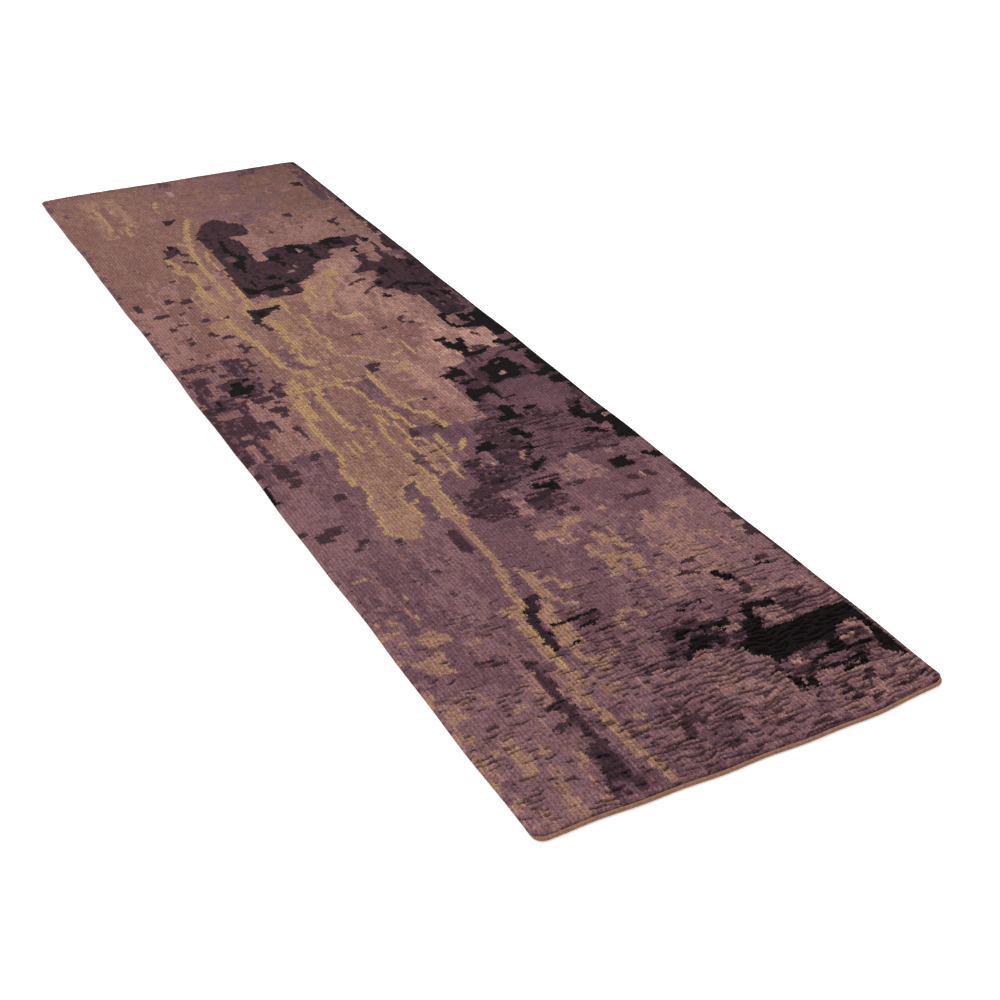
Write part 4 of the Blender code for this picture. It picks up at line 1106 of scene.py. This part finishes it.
def parted_rows(apart, half, share=1.0):
    """0 to 1 where two rows have parted, in short runs, most of them near the end that is walked on"""
    turn = (grid_y + 0.75 * ripple(4, 3) + 0.3 * ripple(1.4, 1.6)) / apart
    line = np.rint(turn).astype(int) + 2
    gap = np.abs(turn + 2 - line) * apart
    runs = dice.uniform(0, 1, (int(ALONG_CM / apart) + 8, int(ACROSS_CM / RUN) + 3))
    column = (grid_x / RUN).astype(int)
    part = grid_x / RUN - column
    level = runs[line, column] * (1 - part) + runs[line, column + 1] * part
    near, nearest, right = ramp(grid_y, 88, 43), ramp(grid_y, 50, 24), ramp(grid_x, 18, 48)
    band = np.exp(-(((grid_y - 106) / 12) ** 2)) * right
    worn_away = 0.10 + near * (0.16 + 0.16 * right) + nearest * (0.08 + 0.13 * right) + 0.24 * band
    often = share * worn_away + 0.14 * ripple(7, 6)
    width = half * (0.7 + 0.4 * nearest + 0.35 * ripple(2, 1))
    return np.clip((often - level) / 0.16, 0, 1) * np.clip(1.15 - gap / width, 0, 1)


rib = np.array([1.0, 0.3, 0.0, 0.3])[np.arange(COLUMNS + 1) % 4][None, :]
row_seam = np.array([1.0, 0.0])[np.arange(LINES + 1) % 2][:, None]
parted = np.maximum(parted_rows(1.15, 0.24), parted_rows(1.9, 0.30, 0.8))
worn = 0.5 + 0.5 * ripple(12, 30)
rough = 0.55 + 0.45 * ramp(grid_y, 75, 25)
tuft = 0.5 * dice.uniform(0, 1, grid_x.shape) ** 2 + 0.5 * np.clip(0.3 + ripple(0.45, 0.4), 0, 1)
opened = RIB_DIP * rib * (0.7 + 0.5 * worn) + ROW_GAP * parted + TUFT_DIP * tuft * rough
opened = opened + SEAM_DIP * row_seam + WANDER * (1 + ripple(3, 2))
print("deepest opening", round(float(opened.max()) * 1000, 2), "mm")
print("share of the pile that has parted", round(float((parted > 0.3).mean()), 3))

# %% Painted shade in the pile
# Painted shade: darker along the right side and at the far right, as if the tufts leaned away from the light.
painted_lean_shade = 0.13 * ramp(grid_x, 50, 78) * ramp(grid_y, 70, 90)
painted_lean_shade += 0.14 * ramp(grid_x, 35, 65) * ramp(grid_y, 248, 273) * (0.8 + 0.6 * ripple(6, 9))
# Painted shade at the far end and along the right edge.
painted_edge_shade = 0.22 * np.maximum(ramp(grid_y, 295, 300), ramp(grid_x, 78, 80))
# Painted shade in the hollows: between ribs, in parted rows, in low tufts and at row seams, with a little random
# mottle.
deep = 0.33 * rib + 0.95 * parted + 0.55 * tuft**2 * rough + 0.05 * row_seam + 0.10 * ripple(1.1, 0.8) * rough
deep = np.clip(deep + painted_lean_shade + painted_edge_shade, 0, 1)
print("mean shade", round(float(deep.mean()), 3))

# %% [markdown]
# ## How the rug lies
# A hand-made rug is never quite square. Its long sides waver by a millimetre or two, its
# near right corner lies two centimetres in and its far end dips in two places. One
# function bends every piece in the same way, so the pile, web, cords and bindings stay
# together.

# %% Laying every piece the same way
def lay(x, y):
    """Where a point of a perfectly square rug comes to lie"""
    near = np.clip(1 - (y + LENGTH / 2) / 0.35, 0, 1) ** 2
    far = np.clip(1 - (LENGTH / 2 - y) / 0.3, 0, 1) ** 2
    waver = 0.0012 * np.sin(y * 10 + 1) + 0.0008 * np.sin(y * 23.3)
    rise = 0.020 * np.clip((x - 0.10) / 0.30, 0, 1) ** 2 + 0.0011 * np.sin(x * 41 + 1) + 0.0008 * np.sin(x * 17)
    dip = 0.004 * np.exp(-(((x + 0.01) / 0.06) ** 2)) + 0.007 * np.exp(-(((x + 0.4) / 0.06) ** 2))
    return x + waver * x / 0.4, y + near * rise - far * dip


def round_corner(x, y, half_x, half_y, radius):
    """Squeeze the corner squares of a plain grid into quarter discs"""
    u, v = (np.abs(x) - half_x + radius) / radius, (np.abs(y) - half_y + radius) / radius
    corner = (u > 0) & (v > 0)
    squeeze = np.where(corner, np.maximum(u, v) / np.maximum(np.hypot(u, v), 1e-9), 1)
    x = np.where(corner, np.sign(x) * (half_x - radius + u * squeeze * radius), x)
    y = np.where(corner, np.sign(y) * (half_y - radius + v * squeeze * radius), y)
    return x, y


def corners_of(mesh):
    flat = np.empty(len(mesh.vertices) * 3, np.float32)
    mesh.vertices.foreach_get("co", flat)
    return flat.reshape(-1, 3).astype(float)


def move_corners(mesh, x, y, z):
    mesh.vertices.foreach_set("co", np.column_stack([x, y, z]).astype(np.float32).ravel())
    mesh.update()


print("near right corner lies", round(float(lay(0.4, -1.5)[1] + 1.5) * 1000, 1), "mm in")

# %% [markdown]
# ## Wool finish
# Hand-spun wool pile is matt: it has no gloss, only a faint sheen where fibre tips catch
# the light. Each knot takes the dye a little differently, the lots drift over a hand's
# breadth, and the cut tips are speckled. Knots are 8.2 by 4 mm, and the fibre speckle is
# about 3 mm, which is coarser than real tips so that it still shows.

# %% Starting and completing a finish
def new_finish(name):
    """Empty finish, its tree, and where each point lies on its piece"""
    finish = bpy.data.materials.new(name)
    finish.use_nodes = True
    tree = finish.node_tree
    return finish, tree, add(tree, "ShaderNodeTexCoord").outputs["Object"]


def complete(tree, colour, height, strength, depth, even):
    """Link a colour and a relief to the shader, and set what is even all over"""
    shader = tree.nodes["Principled BSDF"]
    tree.links.new(colour, shader.inputs["Base Color"])
    bump = add(tree, "ShaderNodeBump", {"Height": height, "Strength": strength, "Distance": depth})
    tree.links.new(bump.outputs["Normal"], shader.inputs["Normal"])
    for socket, value in even.items():
        shader.inputs[socket].default_value = value


print("finishes so far:", [m.name for m in bpy.data.materials])

# %% Wool
KNOTS_ACROSS, KNOTS_ALONG = 0.793, 2.979  # metres that the knots fill
MATT_WOOL = {
    "Roughness": 0.95,
    "Specular IOR Level": 0.05,
    "Sheen Weight": 0.02,
    "Sheen Roughness": 0.5,
    "Sheen Tint": (1.0, 0.9, 0.86, 1.0),
}


def wool(name, shade, seed):
    """Knotted wool pile of one dye shade"""
    finish, tree, place = new_finish(name)
    per_metre = (RIBS / KNOTS_ACROSS, ROWS / KNOTS_ALONG, 0)
    knot_grid = add(tree, "ShaderNodeVectorMath", {0: place, 1: per_metre}, operation="MULTIPLY")
    knot = add(tree, "ShaderNodeVectorMath", {0: knot_grid.outputs[0]}, operation="FLOOR")
    knot_seed = {"Vector": knot.outputs[0], "W": float(seed)}
    knot_tone = add(tree, "ShaderNodeTexWhiteNoise", knot_seed, noise_dimensions="4D").outputs["Value"]
    tips = add(tree, "ShaderNodeTexNoise", {"Vector": place, "Scale": 330.0, "Detail": 3.0, "Roughness": 0.7})
    lot = {"Vector": place, "Scale": 11.0, "Detail": 3.0, "Roughness": 0.6, "W": float(seed)}
    lots = add(tree, "ShaderNodeTexNoise", lot, noise_dimensions="4D")
    spread = add(tree, "ShaderNodeMath", {0: knot_tone, 1: 0.24, 2: -0.28}, operation="MULTIPLY_ADD")
    tip_range = {"Value": tips.outputs["Fac"], "From Min": 0.3, "From Max": 0.7, "To Min": 0.34, "To Max": 1.34}
    speckle = add(tree, "ShaderNodeMapRange", tip_range)
    speckled = add(tree, "ShaderNodeMath", {0: speckle.outputs["Result"], 1: spread.outputs[0]}, operation="ADD")
    drift = {0: lots.outputs["Fac"], 1: 0.28, 2: speckled.outputs[0]}
    drifted = add(tree, "ShaderNodeMath", drift, operation="MULTIPLY_ADD")
    # The pile's painted shade darkens the wool, down to 0.22 of its colour in the deepest hollows.
    depth = add(tree, "ShaderNodeAttribute", attribute_name="deep")
    shadow = add(tree, "ShaderNodeMapRange", {"Value": depth.outputs["Fac"], "To Min": 1.0, "To Max": 0.22})
    tone = add(tree, "ShaderNodeMath", {0: drifted.outputs[0], 1: shadow.outputs["Result"]}, operation="MULTIPLY")
    red, green, blue = dye(shade)[:3]
    tints = add(tree, "ShaderNodeMix", {"Factor": knot_tone}, data_type="RGBA")
    tints.inputs[6].default_value = (red * 1.07, green * 0.97, blue * 0.92, 1)
    tints.inputs[7].default_value = (red * 0.93, green * 1.0, blue * 1.09, 1)
    dyed = add(tree, "ShaderNodeVectorMath", {0: tints.outputs[2], "Scale": tone.outputs[0]}, operation="SCALE")
    complete(tree, dyed.outputs["Vector"], tips.outputs["Fac"], 0.7, 0.0012, MATT_WOOL)
    return finish


wools = [wool(f"{yarn}_wool_pile", shade, seed) for seed, (yarn, shade) in enumerate(YARNS.items())]
print("wool shades:", len(wools))

# %% [markdown]
# ## Knotting the whole pile at once
# The grid is made in one step and its corners are moved in one step. The outer rings of
# corners bend down, so the pile ends in a soft shoulder. It hangs a little over the side
# bindings and the far one, and stops short of the near one, which shows.

# %% The pile sheet
PILE_X, PILE_Y, PILE_SHIFT = WIDTH / 2 + 0.0015, LENGTH / 2 - 0.0023, 0.0048
PILE_CORNER = 0.018
SHOULDER = np.array([0.0, 0.0018, 0.0006, 0.0002, 0.0])  # how far each ring from the edge is pressed down
LOWEST, NEAR_FOOT, SIDE_FOOT = 0.0048, 0.0032, 0.0072  # the lowest inner corner, and where the edge ends


def pile_sheet():
    sheet = bmesh.new()
    bmesh.ops.create_grid(sheet, x_segments=COLUMNS, y_segments=LINES, size=0.5)
    mesh = bpy.data.meshes.new("pile")
    sheet.to_mesh(mesh)
    sheet.free()
    unit = corners_of(mesh)
    column = np.rint((unit[:, 0] + 0.5) * COLUMNS).astype(int)
    line = np.rint((unit[:, 1] + 0.5) * LINES).astype(int)
    x, y = round_corner(unit[:, 0] * 2 * PILE_X, unit[:, 1] * 2 * PILE_Y, PILE_X, PILE_Y, PILE_CORNER)
    from_side, from_end = np.minimum(column, COLUMNS - column), np.minimum(line, LINES - line)
    ring = np.minimum(from_side, from_end)
    z = TOP - opened[line, column] - SHOULDER[np.minimum(ring, len(SHOULDER) - 1)]
    near_end = (line < LINES // 2) & (from_side >= np.maximum(from_end, 1))
    z = np.where(ring == 0, np.where(near_end, NEAR_FOOT, SIDE_FOOT), np.maximum(z, LOWEST))
    move_corners(mesh, *lay(x, y + PILE_SHIFT), z)
    # Each corner carries its painted shade for the wool finish.
    mesh.attributes.new("deep", "FLOAT", "POINT").data.foreach_set("value", deep[line, column].astype(np.float32))
    return mesh, unit, column, line


pile_mesh, unit, column, line = pile_sheet()
print("pile sheet:", len(pile_mesh.polygons), "faces")

# %% [markdown]
# ## Reading the chart
# Every face looks up its knot in the chart and takes that yarn. Cut tufts lean over their
# neighbours, so a face near an edge may look up the next knot. The pile also gets its
# own flat map, folded in two halves side by side, so that a long rug fills a square and
# no knot lies on another. Then the sheet is parted by yarn, which leaves one piece for
# each shade, as a weaver counts them.

# %% Yarn by yarn
def read_chart(mesh, unit, column, line):
    count = len(mesh.polygons)
    loops = np.empty(count * 4, np.int32)
    mesh.loops.foreach_get("vertex_index", loops)
    first_column = column[loops].reshape(-1, 4).min(1)
    first_line = line[loops].reshape(-1, 4).min(1)
    mingle = 0.5 + 0.4 * np.clip((COLUMNS * 2 - first_line) / COLUMNS, 0, 1)
    knot_row = np.clip((first_line + 0.5 + dice.uniform(-1, 1, count) * mingle) // 2, 0, ROWS - 1).astype(int)
    knot_rib = np.clip((first_column + 0.5 + dice.uniform(-1.5, 1.5, count) * mingle) // 4, 0, RIBS - 1).astype(int)
    mesh.polygons.foreach_set("material_index", chart[knot_row, knot_rib].astype(np.int32))
    far_half = np.repeat(first_line >= LINES // 2, 4)
    u = (unit[loops, 0] + 0.5) * 0.49 + np.where(far_half, 0.505, 0.005)
    v = (unit[loops, 1] + np.where(far_half, 0.0, 0.5)) * 1.98 + 0.01
    mesh.uv_layers.new(name="OFBake").data.foreach_set("uv", np.column_stack([u, v]).astype(np.float32).ravel())


def part_by_yarn(mesh):
    for finish in wools:
        mesh.materials.append(finish)
    mesh.shade_smooth()
    whole = bpy.data.objects.new("pile", mesh)
    bpy.context.scene.collection.objects.link(whole)
    before = set(bpy.data.objects)
    for other in bpy.context.selected_objects:
        other.select_set(False)
    bpy.context.view_layer.objects.active = whole
    whole.select_set(True)
    bpy.ops.object.mode_set(mode="EDIT")
    bpy.ops.mesh.select_all(action="SELECT")
    bpy.ops.mesh.separate(type="MATERIAL")
    bpy.ops.object.mode_set(mode="OBJECT")
    return [whole] + [o for o in bpy.data.objects if o not in before]


read_chart(pile_mesh, unit, column, line)
pile = {}
for piece in part_by_yarn(pile_mesh):
    finish = piece.data.materials[piece.data.polygons[0].material_index]
    piece.data.materials.clear()
    piece.data.materials.append(finish)
    piece.data.polygons.foreach_set("material_index", np.zeros(len(piece.data.polygons), np.int32))
    yarn = finish.name.removesuffix("_wool_pile")
    piece.name = piece.data.name = f"{yarn}_pile"
    pile[yarn] = piece
for yarn in NAMES:
    print(yarn, "pile:", 2 * len(pile[yarn].data.polygons), "triangles")

# %% [markdown]
# ## Which solid parts the pile stands for
# The solid model has seven yarn families, in separate blocks. Each shade here belongs to
# one family, and each family's blocks are hidden so that its shades show in their place.

# %% Pile in place of the solid blocks
FAMILIES = {
    "charcoal": ["charcoal"],
    "plum": ["plum", "black_plum"],
    "mauve": ["mauve", "dusk", "heather"],
    "taupe": ["taupe", "clay"],
    "rose": ["rose", "blush", "pale_rose"],
    "tan": ["sand"],
    "gold": ["gold"],
}
for family, shades in FAMILIES.items():
    blocks = sorted(n for n in frame["nodes"] if n.startswith(f"pile_{family}_"))
    for shade in shades:
        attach(pile[shade], "root")
    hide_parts(*blocks)
    print(family, "wool stands for", len(blocks), "blocks")

# %% [markdown]
# ## The cotton web
# Under the pile is a plain web of cotton warps and wefts, 2.5 mm thick, which shows only
# on the back. Cotton is undyed and a little grey, with a warp about every 4 mm and a
# weft about every 2 mm. A flat sheet is extruded to its thickness, so it is closed.

# %% Cotton finishes
THREADS = 314.16  # a wave's scale for one thread a millimetre
MATT_COTTON = {"Roughness": 0.9, "Specular IOR Level": 0.2, "Sheen Weight": 0.1}


def cotton(name, shade, across_mm, along_mm, strength):
    """Undyed cotton, its threads crossing at two spacings"""
    finish, tree, place = new_finish(name)
    wave = {"Vector": place, "Distortion": 0.6, "Detail": 1.0}
    warp = add(tree, "ShaderNodeTexWave", wave | {"Scale": THREADS / across_mm}, bands_direction="X")
    weft = add(tree, "ShaderNodeTexWave", wave | {"Scale": THREADS / along_mm}, bands_direction="Y")
    threads = add(tree, "ShaderNodeMath", {0: warp.outputs["Fac"], 1: weft.outputs["Fac"]}, operation="MULTIPLY")
    fluff = add(tree, "ShaderNodeTexNoise", {"Vector": place, "Scale": 650.0, "Detail": 3.0, "Roughness": 0.65})
    tone = add(tree, "ShaderNodeMath", {0: threads.outputs[0], 1: 0.35, 2: 0.5}, operation="MULTIPLY_ADD")
    fluffy = {0: fluff.outputs["Fac"], 1: 0.5, 2: tone.outputs[0]}
    speckled = add(tree, "ShaderNodeMath", fluffy, operation="MULTIPLY_ADD")
    dyed = add(tree, "ShaderNodeVectorMath", {0: dye(shade)[:3], "Scale": speckled.outputs[0]}, operation="SCALE")
    raised = {0: fluff.outputs["Fac"], 1: 0.3, 2: threads.outputs[0]}
    relief = add(tree, "ShaderNodeMath", raised, operation="MULTIPLY_ADD")
    complete(tree, dyed.outputs["Vector"], relief.outputs[0], strength, 0.0008, MATT_COTTON)
    return finish


web_cotton = cotton("plain_woven_cotton_web", "#b7a68f", 4.08, 2.0, 0.8)
cord_cotton = cotton("plied_cotton_cord", "#c2b49d", 3.0, 3.0, 0.6)
print("cotton finishes:", web_cotton.name, cord_cotton.name)


# %% The web
def finished_piece(name, made, finish, smooth=True):
    """Object at the origin from a finished bmesh, riding on the rug"""
    data = bpy.data.meshes.new(name)
    made.to_mesh(data)
    made.free()
    if smooth:
        data.shade_smooth()
    data.materials.append(finish)
    piece = bpy.data.objects.new(name, data)
    bpy.context.scene.collection.objects.link(piece)
    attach(piece, "root")
    return piece


WEB_CORNER = 0.0157


def cotton_web():
    (x0, y0, z0), (x1, y1, z1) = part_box("foundation_web")
    web = bmesh.new()
    bmesh.ops.create_grid(web, x_segments=60, y_segments=220, size=0.5)
    made = bmesh.ops.extrude_face_region(web, geom=web.verts[:] + web.edges[:] + web.faces[:])["geom"]
    lifted = [part for part in made if isinstance(part, bmesh.types.BMVert)]
    bmesh.ops.translate(web, verts=lifted, vec=(0, 0, z1 - z0))
    bmesh.ops.recalc_face_normals(web, faces=web.faces[:])
    piece = finished_piece("cotton_web", web, web_cotton, smooth=False)
    at = corners_of(piece.data)
    wide, long = x1 - x0, y1 - y0
    x, y = round_corner(at[:, 0] * wide, at[:, 1] * long, wide / 2, long / 2, WEB_CORNER)
    move_corners(piece.data, *lay(x, y), at[:, 2] + z0)
    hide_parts("foundation_web")
    return piece, (wide, long)


web, web_size = cotton_web()
print("web", [round(s, 4) for s in web_size], "m,", len(web.data.polygons), "faces")

# %% [markdown]
# ## Cords and bindings
# A cord is laid along each edge and wrapped tightly with yarn, which stops the web from
# unravelling. The ends are whipped in tan-brown yarn and the sides overcast in a dark
# rose-brown. A cord is a tube stretched along its edge. A binding is one small loop of
# yarn, repeated every 4 mm and bent round the edge by the same rule as the cord.

# %% Following an edge
CORNER = 0.020
BEAD, CORD_HEIGHT = 0.004, 0.0036  # half the bound edge's width, and its middle's height
BEND = CORNER - BEAD
END_RUN = math.pi * BEND + WIDTH - 2 * CORNER
SIDE_RUN = LENGTH - 2 * CORNER


def along_edge(edge, run, out, up):
    """Place a straight piece along an edge: run along it, out from its middle, up from its middle"""
    if edge in ("left", "right"):
        sign = 1 if edge == "right" else -1
        x, y = sign * (WIDTH / 2 - BEAD + out), run - SIDE_RUN / 2
    else:
        quarter = math.pi / 2 * BEND
        second = run - quarter - WIDTH + 2 * CORNER
        angle = math.pi + np.clip(run / BEND, 0, math.pi / 2) + np.clip(second / BEND, 0, math.pi / 2)
        x = CORNER - WIDTH / 2 + np.clip(run - quarter, 0, WIDTH - 2 * CORNER) + (BEND + out) * np.cos(angle)
        y = CORNER - LENGTH / 2 + (BEND + out) * np.sin(angle)
        y = y if edge == "front" else -y
    return *lay(x, y), CORD_HEIGHT + up


print("an end binding runs", round(END_RUN, 3), "m, a side one", round(SIDE_RUN, 3), "m")


# %% Edge cords
CORD_WIDE, CORD_HIGH, CORD_STEP = 0.0048, 0.0038, 0.008


def edge_cord(edge, run):
    cord = bmesh.new()
    bmesh.ops.create_cone(cord, cap_ends=True, segments=10, radius1=0.5, radius2=0.5, depth=1)
    long_edges = [e for e in cord.edges if abs(e.verts[0].co.z - e.verts[1].co.z) > 0.5]
    bmesh.ops.subdivide_edges(cord, edges=long_edges, cuts=int(run / CORD_STEP), use_grid_fill=True)
    piece = finished_piece(f"{edge}_edge_cord", cord, cord_cotton)
    at = corners_of(piece.data)
    placed = along_edge(edge, (at[:, 2] + 0.5) * run, at[:, 0] * CORD_WIDE, at[:, 1] * CORD_HIGH)
    move_corners(piece.data, *placed)
    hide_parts(f"{edge}_cord")
    return piece


cords = [edge_cord(edge, END_RUN) for edge in ("front", "rear")]
cords += [edge_cord(edge, SIDE_RUN) for edge in ("left", "right")]
print("cords:", [c.name for c in cords])

# %% [markdown]
# ## Binding yarn
# Binding yarn is spun harder than pile yarn, so it keeps a little more shape and sheen.
# Its fibres run round the cord.

# %% Yarn finish
HARD_SPUN = {"Roughness": 0.85, "Specular IOR Level": 0.1, "Sheen Weight": 0.03}


def spun_yarn(name, shade, seed):
    """Hard-spun wool yarn for wrapping an edge"""
    finish, tree, place = new_finish(name)
    fibres = add(tree, "ShaderNodeTexNoise", {"Vector": place, "Scale": 900.0, "Detail": 2.0, "Roughness": 0.6})
    lot = {"Vector": place, "Scale": 210.0, "Detail": 4.0, "Roughness": 0.65, "W": float(seed)}
    lots = add(tree, "ShaderNodeTexNoise", lot, noise_dimensions="4D")
    tone = add(tree, "ShaderNodeMath", {0: fibres.outputs["Fac"], 1: 0.5, 2: -0.1}, operation="MULTIPLY_ADD")
    drift = {0: lots.outputs["Fac"], 1: 1.6, 2: tone.outputs[0]}
    drifted = add(tree, "ShaderNodeMath", drift, operation="MULTIPLY_ADD")
    dyed = add(tree, "ShaderNodeVectorMath", {0: dye(shade)[:3], "Scale": drifted.outputs[0]}, operation="SCALE")
    complete(tree, dyed.outputs["Vector"], fibres.outputs["Fac"], 0.5, 0.0006, HARD_SPUN)
    return finish


end_yarn = spun_yarn("tan_spun_whipping_yarn", "#8d6753", 1)
side_yarn = spun_yarn("rose_brown_spun_overcast_yarn", "#664643", 2)
print("binding yarns:", end_yarn.name, side_yarn.name)


# %% Wrapped bindings
WRAP_PITCH, YARN_HALF, LOOP_RADIUS = 0.00405, 0.00062, 0.0034
WRAP_SLANT, WRAP_STRAY, WRAP_SLACK = 0.35, 0.0003, 0.05


def wrapped_edge(name, edge, run, yarn, slot, node):
    """One loop of yarn, repeated along an edge"""
    count = round(run / WRAP_PITCH)
    pitch = run / count
    loop = bmesh.new()
    bmesh.ops.create_circle(loop, cap_ends=False, segments=5, radius=1)
    bmesh.ops.scale(loop, verts=loop.verts, vec=(pitch * 0.56, YARN_HALF, 1))
    bmesh.ops.translate(loop, verts=loop.verts, vec=(0, LOOP_RADIUS, 0))
    round_cord = dict(cent=(0, 0, 0), axis=(1, 0, 0), angle=2 * math.pi, steps=9, use_merge=True)
    bmesh.ops.spin(loop, geom=loop.verts[:] + loop.edges[:], **round_cord)
    bmesh.ops.scale(loop, verts=loop.verts, vec=(1, 0.99, 0.86))
    bmesh.ops.recalc_face_normals(loop, faces=loop.faces[:])
    piece = finished_piece(name, loop, yarn)
    repeat = piece.modifiers.new("wraps", "ARRAY")
    repeat.use_relative_offset, repeat.use_constant_offset, repeat.count = False, True, count
    repeat.constant_offset_displace = (pitch, 0, 0)
    wrapped = bpy.data.meshes.new_from_object(piece.evaluated_get(bpy.context.evaluated_depsgraph_get()))
    piece.modifiers.clear()
    single, piece.data = piece.data, wrapped
    bpy.data.meshes.remove(single)
    at = corners_of(wrapped)
    which = np.rint(at[:, 0] / pitch).astype(int) % count
    tight = 1 + dice.uniform(-WRAP_SLACK, 0.0, count)[which]
    slant = at[:, 1] * WRAP_SLANT + dice.uniform(-WRAP_STRAY, WRAP_STRAY, count)[which]
    run_at = np.clip(at[:, 0] + pitch / 2 + slant, 0, run)
    move_corners(wrapped, *along_edge(edge, run_at, at[:, 1] * tight, at[:, 2] * tight))
    whole = bmesh.new()
    whole.from_mesh(wrapped)
    bmesh.ops.recalc_face_normals(whole, faces=whole.faces[:])
    whole.to_mesh(wrapped)
    whole.free()
    wrapped.name = name
    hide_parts(node)
    return piece


bindings = []
for edge in ("front", "rear"):
    bindings.append(wrapped_edge(f"{edge}_end_binding", edge, END_RUN, end_yarn, "end_yarn", f"{edge}_whipping"))
for edge in ("left", "right"):
    side = (f"{edge}_side_binding", edge, SIDE_RUN, side_yarn, "side_yarn", f"{edge}_overcasting")
    bindings.append(wrapped_edge(*side))
print("binding faces:", [len(b.data.polygons) for b in bindings])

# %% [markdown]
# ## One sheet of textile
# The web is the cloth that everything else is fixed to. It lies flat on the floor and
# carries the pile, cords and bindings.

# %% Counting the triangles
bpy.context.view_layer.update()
pieces = [web, *cords, *bindings, *pile.values()]
print("triangles in all:", sum(len(face.vertices) - 2 for piece in pieces for face in piece.data.polygons))
